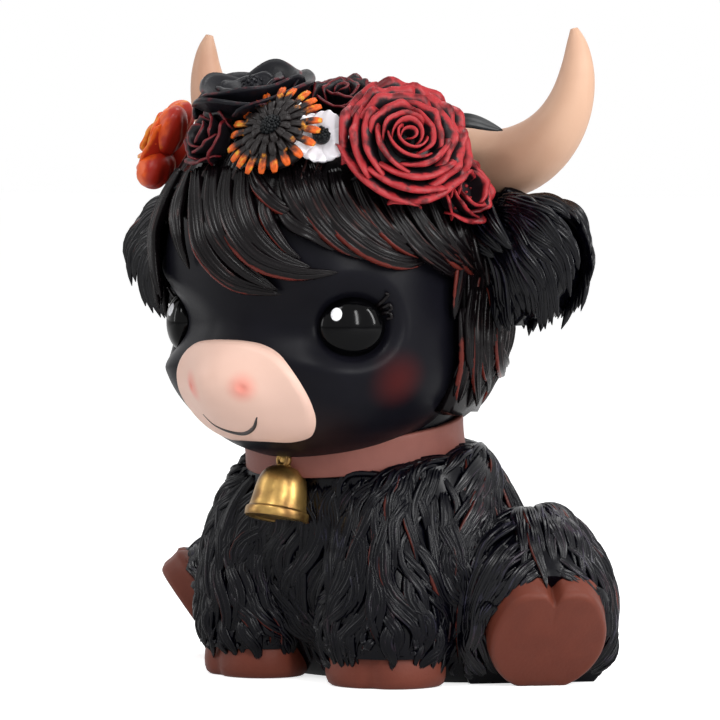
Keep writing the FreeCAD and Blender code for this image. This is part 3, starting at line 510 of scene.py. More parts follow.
# a lock that creeps over a surface from its root, following the flow and swaying across it
def creepLock(batch, tree, root, flow, look, pick, floor=None):
    rings = look["rings"]
    length = chance.uniform(*look["length"])
    if floor is not None:
        length = min(length, max(5.5, (root.z - floor) * 1.25 + 2))
    phase, waves = chance.uniform(0, 2 * math.pi), chance.uniform(*look["waves"])
    sway = chance.uniform(*look["sway"])
    lean = chance.uniform(-look["lean"], look["lean"])
    points, normals = [], []
    spot = root
    for k in range(rings):
        hit, normal, _, _ = tree.find_nearest(spot)
        off = floor is not None and hit.z < floor
        if k > 2 and (off or "soleRoom" in look and nearSole(hit, *look["soleRoom"])):
            break
        t = k / (rings - 1)
        points.append(hit)
        normals.append(normal)
        heading = flow(hit, normal)
        heading = (heading - normal * heading.dot(normal)).normalized()
        across = heading.cross(normal)
        heading = heading + across * (lean + sway * math.cos(phase + 2 * math.pi * waves * t))
        spot = hit + heading.normalized() * (length / (rings - 1))
    if len(points) < 4:
        return
    path = evened(smoothPath([p[:] for p in points], rings), 3)
    rough = evened([n[:] for n in normals], 3)
    t = np.linspace(0, 1, rings)
    along = np.linspace(0, len(rough) - 1, rings)
    out = unit(np.stack([np.interp(along, range(len(rough)), rough[:, k]) for k in range(3)], 1))
    base, rise = look["lift"]
    slim = min(1.0, length / 17)**0.7
    arch = np.sin(math.pi * np.minimum(t * 1.02, 1)**0.8)
    raised = base + slim * (rise + chance.uniform(-0.3, 0.5)) * arch
    path = path + out * raised[:, None]
    share = chance.random()
    width = look["halfWidth"][0] + (look["halfWidth"][1] - look["halfWidth"][0]) * share
    grooves = max(2, round(width / look["strand"]))
    grooves = max(2, round(grooves * slim))
    height = look["height"] * slim * (0.75 + 0.5 * share)
    addLock(batch, path, out, width * slim, height, grooves, pick)


def down(hit, normal):
    return Vector((0, 0, -1))


# body fur

bodyNodes = ("torso", "left_foreleg", "right_foreleg", "left_hind_leg", "right_hind_leg", "tail")
hoofNodes = ("left_fore_hoof", "right_fore_hoof", "left_hind_hoof", "right_hind_hoof")
wholeTree = solidTree(*bodyNodes, *hoofNodes)

bodyFur = {"length": (19, 32), "halfWidth": (0.9, 2.0), "height": 1.3, "strand": 0.40,
           "lift": (-0.9, 1.6), "sway": (0.3, 0.8), "waves": (0.8, 1.5), "lean": 0.28,
           "rings": 13, "spacing": 2.7, "bend": 0.45, "soleRoom": (5, 1.16),
           "top": 50.8, "collarLocks": 42, "collarRoots": 49.8,  # levels at the collar's middle
           "collarRoom": 1.2, "steepest": -0.55, "ground": 2, "probe": 1.3, "clear": 1.0}
thighFur = dict(bodyFur, length=(18, 30), sway=(0.1, 0.35), lean=0.12)


# whether a place is inside one of the castings: an odd number of walls lies ahead of it
def covered(place, way):
    spot, walls = place + way * 0.35, 0
    for _ in range(24):
        hit = wholeTree.ray_cast(spot, way)[0]
        if hit is None:
            break
        walls += 1
        spot = hit + way * 0.01
    return walls % 2 == 1


# whether fur grows here: not on the underside, inside the collar, by a sole or against a casting
def openPlace(p, n):
    top = bodyFur["top"] + math.sin(math.radians(collar["tilt"])) * (p[1] + collar["forward"])
    inside = math.hypot(p[0], p[1] + collar["forward"]) < collar["radius"] + bodyFur["collarRoom"]
    if n[2] < bodyFur["steepest"] or p[2] < bodyFur["ground"] or (inside and p[2] > top):
        return False
    if nearSole(Vector(p), *bodyFur["soleRoom"]):
        return False
    near = wholeTree.find_nearest(Vector(p) + Vector(n) * bodyFur["probe"])
    return near[3] > bodyFur["clear"] and not covered(Vector(p), Vector(n))


# the room in front of a hind hoof's flat face and round its rim, which the fur stays out of
def nearSole(spot, behind, reach):
    gap = Vector((abs(spot.x), spot.y, spot.z)) - soleCentre
    return gap.dot(soleFacing) > -behind and gap.length < soles["halfLength"] * reach


# down the body in long bends that neighbouring locks share
def bodyFlow(hit, normal):
    fall = Vector((0, 0, -1))
    wide = math.sin(hit.z * 0.17 + hit.x * 0.13)
    narrow = math.sin(hit.y * 0.23 - hit.z * 0.1 + 1.3)
    return fall + normal.cross(fall) * (bodyFur["bend"] * (wide + 0.6 * narrow))


# round the hoof on both sides and a little toward its flat face
def thighFlow(hit, normal):
    side = 1 if hit.x > 0 else -1
    axis = Vector((side * soleFacing.x, soleFacing.y, soleFacing.z))
    gap = hit - Vector((side * soleCentre.x, soleCentre.y, soleCentre.z))
    around = axis.cross(gap - axis * gap.dot(axis)).normalized()
    if around.z > 0:
        around = -around
    return (around * 0.8 + axis * 0.3 + Vector((0, 0, -0.3))).normalized()


thighTuft = dict(bodyFur, length=(14, 22), halfWidth=(1.0, 2.0), sway=(0.1, 0.3), lift=(-0.6, 1.6),
                 count=72, soleRoom=(2, 1.0), back=(7, 26), above=22, slope=0.35, spread=9)


# the parting on top of a thigh, combed over toward the hoof's cleft
def addTuft(batch, side):
    axis = Vector((side * soleFacing.x, soleFacing.y, soleFacing.z))
    centre = Vector((side * soleCentre.x, soleCentre.y, soleCentre.z))
    sideways = axis.cross(Vector((0, 0, 1))).normalized()
    near, depth = thighTuft["back"]
    for k in range(thighTuft["count"]):
        back = near + depth * (1 - k / thighTuft["count"])
        above = Vector((0, 0, thighTuft["above"] + back * thighTuft["slope"]))
        place = centre - axis * back + above
        place = place + sideways * chance.uniform(-thighTuft["spread"], thighTuft["spread"])
        root = wholeTree.find_nearest(place)[0]
        away = (root - centre).dot(sideways)

        def combed(hit, normal):
            return axis + Vector((0, 0, -0.35)) + sideways * (0.05 * away)

        creepLock(batch, wholeTree, root, combed, thighTuft, chance.random(), 0.6)


tailFur = dict(bodyFur, length=(9, 15), halfWidth=(0.8, 1.4))
# over the fore hooves the locks end at uneven levels
ragged = {"spread": 19, "reach": 16, "front": -4, "foot": (3.0, 7.0)}


# each patch of fur: the castings it lies on, where, how it flows, its look, its foot and its seed
def buildBodyFur():
    groups = {
        "chestFur": (("torso",), lambda p: p[1] < 6, bodyFlow, bodyFur, 0.6, 11),
        "backFur": (("torso",), lambda p: p[1] >= 6, bodyFlow, bodyFur, 0.6, 12),
        "forelegFur": (("left_foreleg", "right_foreleg"), lambda p: True, bodyFlow, bodyFur, 4.6, 13),
        "leftThighFur": (("left_hind_leg",), lambda p: True, thighFlow, thighFur, 0.6, 14),
        "rightThighFur": (("right_hind_leg",), lambda p: True, thighFlow, thighFur, 0.6, 15),
        "tailFur": (("tail",), lambda p: True, down, tailFur, 0.6, 16),
    }
    for name, (nodes, region, flow, look, floor, seed) in groups.items():
        batch = Batch()
        spots = scatter(nodes, look["spacing"], lambda p, n: region(p) and openPlace(p, n), seed)
        spots.sort(key=lambda spot: spot.z)
        for root in spots:
            foot = floor
            if abs(abs(root.x) - ragged["spread"]) < ragged["reach"] and root.y < ragged["front"]:
                foot = chance.uniform(*ragged["foot"])
            creepLock(batch, wholeTree, root, flow, look, chance.random(), foot)
        for k in range(bodyFur["collarLocks"] if nodes == ("torso",) else 0):
            turn = math.pi * (k + chance.random()) / bodyFur["collarLocks"]
            ring = collar["radius"] + 1.5
            y = ring * math.sin(turn) * (-1 if name == "chestFur" else 1)
            level = bodyFur["collarRoots"] + math.sin(math.radians(collar["tilt"])) * y
            root = wholeTree.find_nearest(Vector((ring * math.cos(turn), y - collar["forward"], level)))[0]
            creepLock(batch, wholeTree, root, flow, look, chance.random(), floor)
        if "Thigh" in name:
            addTuft(batch, 1 if name.startswith("left") else -1)
        # the thighs take the glossier fur with painted highlight on its crests
        batch.piece(name, glossPaintedHighlightMaterial if "Thigh" in name else furMaterial, "dark_fur")
        print(name, len(spots), "locks")


# head

headSize = {"forward": 15.8, "base": 51.5, "height": 74, "halfWidth": 36, "halfDepth": 35}
headRings = [(0, 0.30), (0.025, 0.46), (0.08, 0.67), (0.16, 0.845), (0.26, 0.965), (0.36, 1.0),
             (0.48, 1.0), (0.60, 0.985), (0.74, 0.92), (0.86, 0.78), (0.95, 0.55), (1, 0.30)]
eyes = {"bearing": 55, "facing": 48, "level": 82.2, "recess": 5.0, "halfWidth": 7.4,
        "halfHeight": 6.7, "halfDepth": 3.8, "behind": 2.2}
# the soft dent toward the nose, and the tight socket round the eye
dent = {"noseReach": 25, "outerReach": 13, "upReach": 13, "downReach": 11, "depth": 6.5,
        "fall": 1.9, "socket": 3.6, "socketEdge": 1.22, "reach": 14}


def eyeFrame(side):
    ahead = facing(eyes["bearing"] * side)
    away = Vector(((headSize["halfWidth"] - eyes["recess"]) * ahead.x,
                   (headSize["halfDepth"] - eyes["recess"]) * ahead.y - headSize["forward"], eyes["level"]))
    out = facing(eyes["facing"] * side)
    across = Vector((-out.y, out.x, 0))
    return away, across, out


def headPoints(rings, spots):
    rise = np.concatenate([np.linspace(0, 0.1, rings // 6, endpoint=False),
                           np.linspace(0.1, 1, rings - rings // 6)])
    share = smoothTable(rise, headRings)[:, None]
    turn = fullTurn(spots)
    x = headSize["halfWidth"] * share * np.sin(turn)
    y = -headSize["halfDepth"] * share * np.cos(turn) - headSize["forward"]
    z = np.broadcast_to((headSize["base"] + headSize["height"] * rise)[:, None], x.shape)
    y = y + bridgeBack(x, z) * (np.cos(turn) > 0)
    return np.stack([x, y, z], -1).reshape(-1, 3)


# the hollows that the eyes sit in
def hollowEyes(points):
    for side in (1, -1):
        centre, across, out = eyeFrame(side)
        gap = points - np.array(centre)
        nose = -side * (gap @ np.array(across))
        up = gap[:, 2]
        broad = np.hypot(np.where(nose > 0, nose / dent["noseReach"], nose / dent["outerReach"]),
                         np.where(up > 0, up / dent["upReach"], up / dent["downReach"]))
        broad = dent["depth"] * np.maximum(0, 1 - broad**2)**dent["fall"]
        tight = np.hypot(nose / eyes["halfWidth"], up / eyes["halfHeight"])
        t = np.clip((tight - 1) / (dent["socketEdge"] - 1), 0, 1)
        tight = dent["socket"] * (1 - t * t * (3 - 2 * t))
        front = gap @ np.array(out) > -dent["reach"]
        sink = (broad**3 + tight**3)**(1 / 3) * front
        points = points - np.array(out) * sink[:, None]
    return points


hideLook = {"base": (0.0040, 0.0039, 0.0064), "shade": (0.0062, 0.0060, 0.0094), "patches": 45,
            "roughness": 0.37, "grain": 1500, "bump": 0.10, "amount": 0.8, "specular": 0.09,
            "spots": [((34, -26, 69.6), 9, (0.075, 0.007, 0.006), 0.7),
                      ((-34, -26, 69.6), 9, (0.075, 0.007, 0.006), 0.7),
                      ((16, -34, 54), 15, (0.022, 0.009, 0.007), 0.7)]}
hideMaterial = paintedMaterial("blackHide", hideLook)
# the pink pad: a rounded snout, and the pad's outline, smile and nostril by picture points
muzzle = {"rim": 1.4, "proud": 0.9, "bulge": 6.0, "bulgeWidth": 11.5, "bulgeLevel": 69,
          "bulgeAbove": 12, "bulgeBelow": 11, "centre": 66, "nostril": (242, 388),
          "swell": (0.5, 2.0), "pit": (0.55, 0.8), "line": (0.12, 0.42),
          "outline": [(214, 342), (232, 341), (254, 345), (274, 356), (293, 378), (307, 402),
                      (312.5, 422), (309, 435), (290, 442.5), (262, 442), (229, 440)],
          "smile": [(203, 414), (212, 423), (229, 431), (245, 433), (254, 427), (257, 417)]}
muzzleLook = {"base": (0.79, 0.53, 0.435), "shade": (0.73, 0.46, 0.37), "patches": 70, "amount": 0.35,
              "roughness": 0.42, "grain": 1300, "bump": 0.12, "specular": 0.3,
              "rosy": (4.6, (0.80, 0.22, 0.17), 0.8)}  # round each nostril
linePaint = paintedMaterial("lineBlack", {
    "base": (0.012, 0.009, 0.009), "shade": (0.03, 0.015, 0.012), "roughness": 0.4, "bump": 0.1})

# how far the bridge of the nose and the face round it lie back from the head's round
bridge = {"width": 21, "depth": [(51.5, 0), (58, 0.9), (66, 2.4), (74, 4.0), (84, 5.3), (92, 3.4),
                                 (98, 0.9), (103, 0), (126, 0)]}


def bridgeBack(x, z):
    return smoothTable(z, bridge["depth"]) * np.exp(-(x / bridge["width"])**4)


# the front of the snout: the front of the head with a soft bulge on it
def snoutPoint(x, z):
    share = smoothTable(np.clip((np.asarray(z) - headSize["base"]) / headSize["height"], 0, 1), headRings)
    flat = np.maximum(1 - (x / (headSize["halfWidth"] * share))**2, 0.0)
    face = headSize["forward"] + headSize["halfDepth"] * share * np.sqrt(flat) - bridgeBack(x, z)
    gap = z - muzzle["bulgeLevel"]
    tall = np.where(gap > 0, muzzle["bulgeAbove"], muzzle["bulgeBelow"])
    bulge = muzzle["bulge"] * np.exp(-(x / muzzle["bulgeWidth"])**2 - (gap / tall)**2)
    return -(face + bulge + muzzle["proud"])


# where a picture point lands on the snout, found in small steps along the ray
def onSnout(px, py):
    ray = photoRay(px, py)
    spot = eyePoint + ray * (shot["distance"] - 50)
    for _ in range(80):
        spot = spot + ray * ((float(snoutPoint(spot.x, spot.z)) - spot.y) / ray.y) * 0.8
    return spot


# the pad in rings from its middle outwards, then round its rim and back into the face
def buildMuzzle():
    spots, rings = 140, 36
    knots = [onSnout(px, py) for px, py in muzzle["outline"]]
    knots = [(spot.x, spot.z, 0) for spot in knots]
    knots[0] = (0, knots[1][1] + 0.1, 0)
    knots[-1] = (0, knots[-2][1], 0)
    half = smoothPath(knots, spots // 2 + 1)
    wide = np.concatenate([half[:, 0], -half[-2:0:-1, 0]])
    tall = np.concatenate([half[:, 1], half[-2:0:-1, 1]]) - muzzle["centre"]
    rim = muzzle["rim"]
    reach = np.hypot(wide, tall)
    nostril = onSnout(*muzzle["nostril"])
    (swell, swellReach), (pit, pitReach) = muzzle["swell"], muzzle["pit"]
    points = []
    for k in range(rings):
        share = (k + 0.15) / (rings - 0.85) * (1 - rim / reach)
        x, z = wide * share, muzzle["centre"] + tall * share
        y = snoutPoint(x, z)
        for side in (1, -1):
            gap = np.hypot(x - nostril.x * side, z - nostril.z)
            y = y - swell * np.exp(-(gap / swellReach)**2) + pit * np.exp(-(gap / pitReach)**2)
        points.append(np.stack([x, y, z], -1))
    for k in range(1, 9):
        angle = k / 8 * math.pi / 2
        share = 1 - rim / reach * (1 - math.sin(angle))
        x, z = wide * share, muzzle["centre"] + tall * share
        points.append(np.stack([x, snoutPoint(x, z) + rim * (1 - math.cos(angle)), z], -1))
    for _ in range(3):
        points.append(points[-1] + np.array([0, 2.2, 0]))
    rosy = [((nostril.x * side, nostril.y, nostril.z), *muzzleLook["rosy"]) for side in (1, -1)]
    material = paintedMaterial("peachMuzzle", dict(muzzleLook, spots=rosy))
    addPiece("muzzlePad", np.concatenate(points), ringFaces(len(points), spots), material,
             replaced=("muzzle",))


def tube(batch, path, radii, spots, upward, **marks):
    tangent = unit(np.gradient(path, axis=0))
    side = unit(np.cross(tangent, np.array(upward, float)))
    up = np.cross(side, tangent)
    turn = fullTurn(spots)
    radii = np.broadcast_to(np.asarray(radii, float), (len(path),))[:, None, None]
    points = path[:, None] + radii * (side[:, None] * np.cos(turn)[None, :, None]
                                      + up[:, None] * np.sin(turn)[None, :, None])
    batch.add(points, ringFaces(len(path), spots), **marks)


def buildSmile():
    knots = [onSnout(px, py)[:] for px, py in muzzle["smile"]]
    path = smoothPath(knots, 28)
    path[:, 1] = [snoutPoint(x, z) for x, z in path[:, [0, 2]]]
    thin, more = muzzle["line"]
    radii = thin + more * np.sin(np.pi * np.linspace(0, 1, 28)**1.5)**0.8
    batch = Batch()
    tube(batch, path + np.array([0, 0.05, 0]), radii, 10, (0, 1, 0))
    batch.piece("smileLine", linePaint, "eye_gloss")


eyeMaterial = paintedMaterial("glossEye", {
    "base": (0.0008, 0.0008, 0.0011), "shade": (0.0012, 0.0012, 0.0015), "roughness": 0.10,
    "grain": 300, "bump": 0.02, "specular": 0.11})
whitePaint = paintedMaterial("highlightWhite", {
    "base": (0.86, 0.86, 0.88), "shade": (0.74, 0.75, 0.80), "roughness": 0.3, "bump": 0.1})
# across and up as shares of the eye, the sizes in millimetres
highlight = {"across": -0.53, "up": 0.44, "sizes": (1.3, 1.55, 0.28)}


def ellipsoidPoints(centre, sizes, rings=40, spots=56, axes=((1, 0, 0), (0, 1, 0), (0, 0, 1))):
    across, up, out = (np.array(axis) for axis in axes)
    lat = np.linspace(0.5 * math.pi - 0.02, -0.5 * math.pi + 0.02, rings)
    turn = fullTurn(spots)
    a = np.cos(lat)[:, None] * np.cos(turn) * sizes[0]
    b = np.cos(lat)[:, None] * np.sin(turn) * sizes[1]
    c = np.broadcast_to(np.sin(lat)[:, None] * sizes[2], a.shape)
    grid = a[..., None] * across + b[..., None] * up + c[..., None] * out
    return (grid + np.array(centre)).reshape(-1, 3), ringFaces(rings, spots)


def buildEyes():
    up = Vector((0, 0, 1))
    for side, label in sides:
        centre, across, out = eyeFrame(side)
        sizes = (eyes["halfWidth"], eyes["halfHeight"], eyes["halfDepth"])
        points, faces = ellipsoidPoints((0, 0, 0), sizes)
        points[:, 2] = np.where(points[:, 2] < 0, points[:, 2] * eyes["behind"], points[:, 2])
        points = points @ np.array([across, up, out]) + np.array(centre)
        addPiece(label + "EyeBall", points, faces, eyeMaterial, replaced=(label + "_eye",))
        a = highlight["across"] * eyes["halfWidth"] * side
        b = highlight["up"] * eyes["halfHeight"]
        lift = math.sqrt(1 - highlight["across"]**2 - highlight["up"]**2) * eyes["halfDepth"]
        spot = centre + across * a + up * b + out * lift
        normal = across * (a / sizes[0]**2) + up * (b / sizes[1]**2) + out * (lift / sizes[2]**2)
        normal = normal.normalized()
        sideways = normal.cross(up).normalized() * -1
        axes = (sideways, normal.cross(sideways), normal)
        points, faces = ellipsoidPoints(spot - normal * 0.1, highlight["sizes"], 16, 32, axes)
        addPiece(label + "EyeHighlight", points, faces, whitePaint)


# lash curls of the near eye by picture points, from the rim outwards
lashCurls = [
    [(376, 307), (380, 303), (385, 298), (388, 293), (385, 292)],
    [(379, 309), (385, 306), (390, 304), (392, 308), (389, 310)],
    [(380, 314), (386, 312), (391, 313), (392, 317), (388, 318)],
]


lashes = {"thick": 0.56, "taper": 0.22, "lift": 0.25, "rise": 0.5}


def buildLashes(headTree):
    curls = []
    for knots in lashCurls:
        path = []
        for t, (px, py) in zip(np.linspace(0, 1, len(knots)), knots):
            hit, normal = fromPhoto(headTree, px, py)
            path.append((hit + normal * (lashes["lift"] + lashes["rise"] * t))[:])
        curls.append(smoothPath(path, 18))
    for side, label in sides:
        batch = Batch()
        for path in curls:
            thick = lashes["thick"] - lashes["taper"] * np.linspace(0, 1, 18)
            tube(batch, path * np.array([side, 1, 1]), thick, 8, facing(eyes["facing"] * side),
                 crest=0.4, pick=0.1)
        batch.piece(label + "LashCurls", hairMaterial, "dark_hair", (label + "_lashes",))


# hair

hairSize = {"back": -10.1, "bottom": 50, "height": 80, "halfWidth": 39, "halfDepth": 43.1}
hairRings = [(0, 0.68), (0.10, 0.80), (0.20, 0.90), (0.30, 0.985), (0.42, 1.0), (0.56, 1.0),
             (0.69, 0.96), (0.78, 0.905), (0.86, 0.825), (0.92, 0.72), (0.97, 0.54), (1, 0.30)]


def hairSpot(bearing, level, lift=0.0):
    rise = np.clip((level - hairSize["bottom"]) / hairSize["height"], 0, 1)
    share = smoothTable(rise, hairRings)
    turn = np.radians(bearing)
    return np.stack([(hairSize["halfWidth"] * share + lift) * np.sin(turn),
                     hairSize["back"] - (hairSize["halfDepth"] * share + lift) * np.cos(turn),
                     np.broadcast_to(level, np.shape(turn)) + 0.0 * turn], -1)


def hairHull(rings, spots):
    levels = hairSize["bottom"] + hairSize["height"] * np.linspace(0, 1, rings)
    bearings = np.arange(spots) / spots * 360
    return np.concatenate([hairSpot(bearings, level) for level in levels])


# the smooth bed under the locks: a shell of the hair's round, from a lower edge to the crown
def addBed(name, bearings, edge, rows, outer, inner, replaced):
    top = hairSize["bottom"] + hairSize["height"] * 0.995
    levels = [edge + (top - edge) * (r / (rows - 1)) for r in range(rows)]
    points = np.concatenate([hairSpot(bearings, level, lift) for lift in (outer, inner) for level in levels])
    addPiece(name, points, sheetFaces(rows, len(bearings)), hairMaterial, (replaced,))


# fringe locks by picture points from root to tip, then half width, height, strands and how red
fringeLocks = [
    ([(188, 172), (181, 209), (184, 247), (192, 268)], 2.4, 2.0, 3, 0.3),
    ([(197, 171), (199, 209), (208, 252), (233, 279), (282, 293)], 2.9, 2.8, 4, 0.97),
    ([(212, 168), (212, 205), (224, 243), (249, 270), (279, 289)], 2.9, 2.4, 4, 0.4),
    ([(228, 168), (226, 203), (237, 236), (259, 260), (297, 273), (338, 272)], 2.7, 2.8, 4, 0.95),
    ([(243, 170), (245, 205), (258, 236), (282, 258), (312, 268)], 2.6, 2.3, 4, 0.5),
    ([(265, 190), (266, 214), (278, 237), (291, 252), (302, 259)], 1.7, 2.2, 3, 0.9),
    ([(279, 205), (292, 222), (315, 236), (334, 251)], 2.1, 1.8, 3, 0.2),
    ([(252, 170), (262, 190), (284, 211), (309, 218)], 2.0, 3.0, 3, 0.85),
    ([(284, 168), (290, 192), (305, 218), (325, 238), (340, 250)], 2.2, 2.1, 3, 0.45),
    ([(298, 166), (305, 194), (320, 223), (344, 247), (372, 261)], 2.5, 2.4, 4, 0.6),
    ([(311, 166), (321, 197), (339, 226), (367, 250), (403, 263), (433, 255)], 2.6, 2.9, 4, 0.96),
    ([(334, 170), (343, 200), (361, 226), (386, 246), (415, 260)], 2.5, 2.4, 4, 0.55),
    ([(356, 178), (369, 209), (388, 235), (414, 253), (430, 257)], 2.4, 2.5, 4, 0.88),
    ([(380, 186), (396, 217), (414, 244), (438, 265), (463, 281)], 2.4, 2.6, 4, 0.5),
    ([(404, 192), (422, 225), (442, 250), (464, 268), (486, 280)], 2.4, 2.5, 4, 0.9),
    ([(430, 196), (444, 232), (459, 256), (478, 272), (492, 278)], 2.4, 2.4, 4, 0.6),
    ([(454, 210), (462, 240), (475, 262), (492, 276)], 2.3, 2.4, 4, 0.92),
    ([(470, 225), (474, 255), (482, 283), (488, 310)], 2.2, 2.6, 4, 0.3),
    ([(480, 235), (486, 270), (488, 300), (500, 330)], 2.4, 2.4, 4, 0.5),
]
# the hair behind the near eye and below the ear, in the same way
napeLocks = [
    ([(474, 288), (468, 320), (467, 350), (471, 384)], 1.5, 1.5, 4, 0.3),
    ([(481, 288), (476, 322), (474, 360), (476, 406)], 2.0, 1.7, 5, 0.6),
    ([(490, 288), (486, 320), (484, 350), (487, 392)], 2.2, 1.9, 5, 0.2),
    ([(500, 290), (498, 318), (496, 346), (499, 378)], 2.2, 1.9, 5, 0.95),
    ([(510, 298), (510, 322), (509, 342), (512, 360)], 2.0, 1.8, 4, 0.4),
    ([(478, 320), (479, 345), (482, 366), (490, 384)], 1.6, 1.6, 4, 0.7),
    ([(492, 318), (494, 340), (500, 356), (508, 368)], 1.6, 1.6, 4, 0.5),
]
fringe = {"from": -104, "to": 112, "edge": 106.5, "sideDrop": 9, "dropFrom": 55, "dropOver": 45,
          "ripple": 1.2, "lift": (-0.4, 0.9, -0.1)}
farFringe = {"count": 15, "from": -38, "to": -106, "top": 117, "width": 2.3, "height": 2.2}
crown = {"rows": [(128.6, 12), (124, 26)], "level": 129.4, "size": (13.5, 14.5, 2.6)}
backHair = {"length": (22, 34), "halfWidth": (1.8, 3.2), "height": 1.7, "strand": 0.5,
            "lift": (-1.2, 0.3), "sway": (0.1, 0.4), "waves": (0.4, 0.8), "lean": 0.18,
            "rings": 16, "columns": 26, "rows": (126, 118, 108, 97, 86, 75),
            "foot": 58.5, "sideRise": 3.5, "riseFrom": 72, "riseOver": 30, "ripple": 0.7}
lockRings = 26


# a lock laid along given points, with how far its root, middle and tip stand off the surface
def layLock(batch, tree, knots, halfWidth, height, grooves, pick, lift):
    path = smoothPath(knots, lockRings)
    on, out = [], []
    for p in path:
        hit, normal, _, _ = tree.find_nearest(Vector(p))
        on.append(hit[:])
        out.append(normal[:])
    out = unit(evened(out, 4))
    raised = np.interp(np.linspace(0, 1, lockRings), [0, 0.5, 1], lift)
    path = np.array(on) + out * raised[:, None]
    addLock(batch, path, out, halfWidth, height, grooves, pick)


# a fringe lock by picture points: it leaves the hair's round and ends on the face
def fringePath(hullTree, headTree, knots):
    spots = []
    for t, (px, py) in zip(np.linspace(0, 1, len(knots)), knots):
        over = fromPhoto(hullTree, px, py)[0]
        low, way = fromPhoto(headTree, px, py)
        share = np.clip((t - 0.4) / 0.6, 0, 1)
        spots.append(over.lerp(low + way * 0.9, 0.9 * share * share * (3 - 2 * share))[:])
    path = smoothPath(spots, lockRings)
    out = [hullTree.find_nearest(Vector(p))[1][:] for p in path]
    return path, unit(evened(out, 4))


# how far down the back hair comes: lowest in the middle, clear of the collar at the sides
def napeFoot(bearing):
    gap = 90 - np.abs(bearing - 180)
    side = np.clip((backHair["riseFrom"] - gap) / backHair["riseOver"], 0, 1)
    return backHair["foot"] + backHair["sideRise"] * side


def buildFringe(hullTree, headTree):
    bearings = np.linspace(fringe["from"], fringe["to"], 90)
    ripple = fringe["ripple"] * np.sin(np.radians(bearings * 9))
    side = np.clip((np.abs(bearings) - fringe["dropFrom"]) / fringe["dropOver"], 0, 1)
    edge = fringe["edge"] - fringe["sideDrop"] * side**2 + ripple
    addBed("fringeBed", bearings, edge, 26, -0.6, -4.5, "fringe")
    batch = Batch()
    for knots, width, height, grooves, pick in fringeLocks:
        path, out = fringePath(hullTree, headTree, knots)
        raised = np.interp(np.linspace(0, 1, len(path)), [0, 0.5, 1], fringe["lift"])
        addLock(batch, path + out * raised[:, None], out, width, height, grooves + 1, pick)
    for k in range(farFringe["count"]):  # the side that the photograph doesn't show
        bearing = farFringe["from"] + (farFringe["to"] - farFringe["from"]) * k / (farFringe["count"] - 1)
        drop = chance.uniform(22, 29) + 0.12 * abs(bearing)
        sweep = chance.uniform(4, 12)
        knots = [hairSpot(np.array(bearing - 2 + sweep * t * t), farFringe["top"] - drop * t)
                 for t in (0, 0.3, 0.6, 0.85, 1)]
        layLock(batch, hullTree, knots, farFringe["width"], farFringe["height"], 5, chance.random(),
                (-0.4, 0.9, -1.2))
    batch.piece("fringeLocks", hairMaterial, "dark_hair")


def buildBackHair(hullTree):
    batch = Batch()
    for knots, width, height, grooves, pick in napeLocks:
        spots = [fromPhoto(hullTree, px, py)[0][:] for px, py in knots]
        layLock(batch, hullTree, spots, width, height, grooves, pick, (-0.6, 0.5, 0.1))
    crownLook = dict(backHair, length=(16, 24))
    for level, columns in crown["rows"]:
        for k in range(columns):
            bearing = 360 * (k + chance.uniform(-0.3, 0.3)) / columns
            root = Vector(hairSpot(np.array(bearing), level))
            creepLock(batch, hullTree, root, down, crownLook, chance.random())
    dome, faces = ellipsoidPoints((0, hairSize["back"], crown["level"]), crown["size"], 20, 60)
    batch.add(dome, faces)
    count = backHair["columns"]
    for row, level in enumerate(backHair["rows"]):
        for k in range(count):
            bearing = 92 + 176 * (k + 0.5 * (row % 2) + chance.uniform(-0.25, 0.25)) / count
            root = Vector(hairSpot(np.array(bearing), level + chance.uniform(-3, 3)))
            foot = napeFoot(bearing) + chance.uniform(-0.5, 1.5)
            creepLock(batch, hullTree, root, down, backHair, chance.random(), foot)
    batch.piece("napeLocks", hairMaterial, "dark_hair")
    bearings = np.linspace(94, 266, 80)
    edge = napeFoot(bearings) + backHair["ripple"] * np.sin(np.radians(bearings * 13))
    addBed("napeBed", bearings, edge, 40, -0.7, -5.0, "hair_cap")


# ears

ears = {"root": 34.6, "length": 38, "height": 36, "level": 95, "setback": 3.4, "turn": -12.3,
        "thick": 5.2, "fan": 26, "halfWidth": (1.3, 2.5)}
# locks of the near ear by picture points, from the root outwards, first the top edge
earFan = [
    [(512, 201), (530, 199), (548, 203), (564, 211), (576, 223)],
    [(510, 204), (535, 206), (559, 219), (577, 239), (586, 258)],
    [(508, 206), (536, 213), (564, 233), (583, 258), (587, 286)],
    [(506, 208), (534, 219), (559, 240), (575, 267), (576, 301)],
    [(504, 211), (530, 225), (553, 251), (566, 283), (566, 322)],
    [(502, 214), (525, 233), (545, 261), (555, 293), (551, 331)],
    [(500, 219), (519, 243), (535, 270), (542, 298), (540, 319)],
    [(498, 225), (511, 250), (523, 280), (529, 305), (530, 329)],
    [(496, 231), (503, 257), (511, 290), (517, 318), (522, 341)],
    [(493, 237), (496, 263), (500, 292), (506, 316), (511, 336)],
]
earFront = [
    [(496, 192), (509, 208), (524, 229), (538, 249)],
    [(488, 196), (499, 213), (512, 233), (527, 252)],
    [(480, 202), (489, 220), (500, 240), (514, 257)],
]


# a picture point on the ear's middle plane, along the ear and up it
def earShare(px, py):
    turn = math.radians(ears["turn"])
    origin = Vector((ears["root"], ears["setback"], ears["level"]))
    along = Vector((math.cos(turn), math.sin(turn), 0))
    normal = Vector((math.sin(turn), -math.cos(turn), 0))
    ray = photoRay(px, py)
    spot = eyePoint + ray * ((origin - eyePoint).dot(normal) / ray.dot(normal)) - origin
    return spot.dot(along) / ears["length"], spot.z / ears["height"], 0


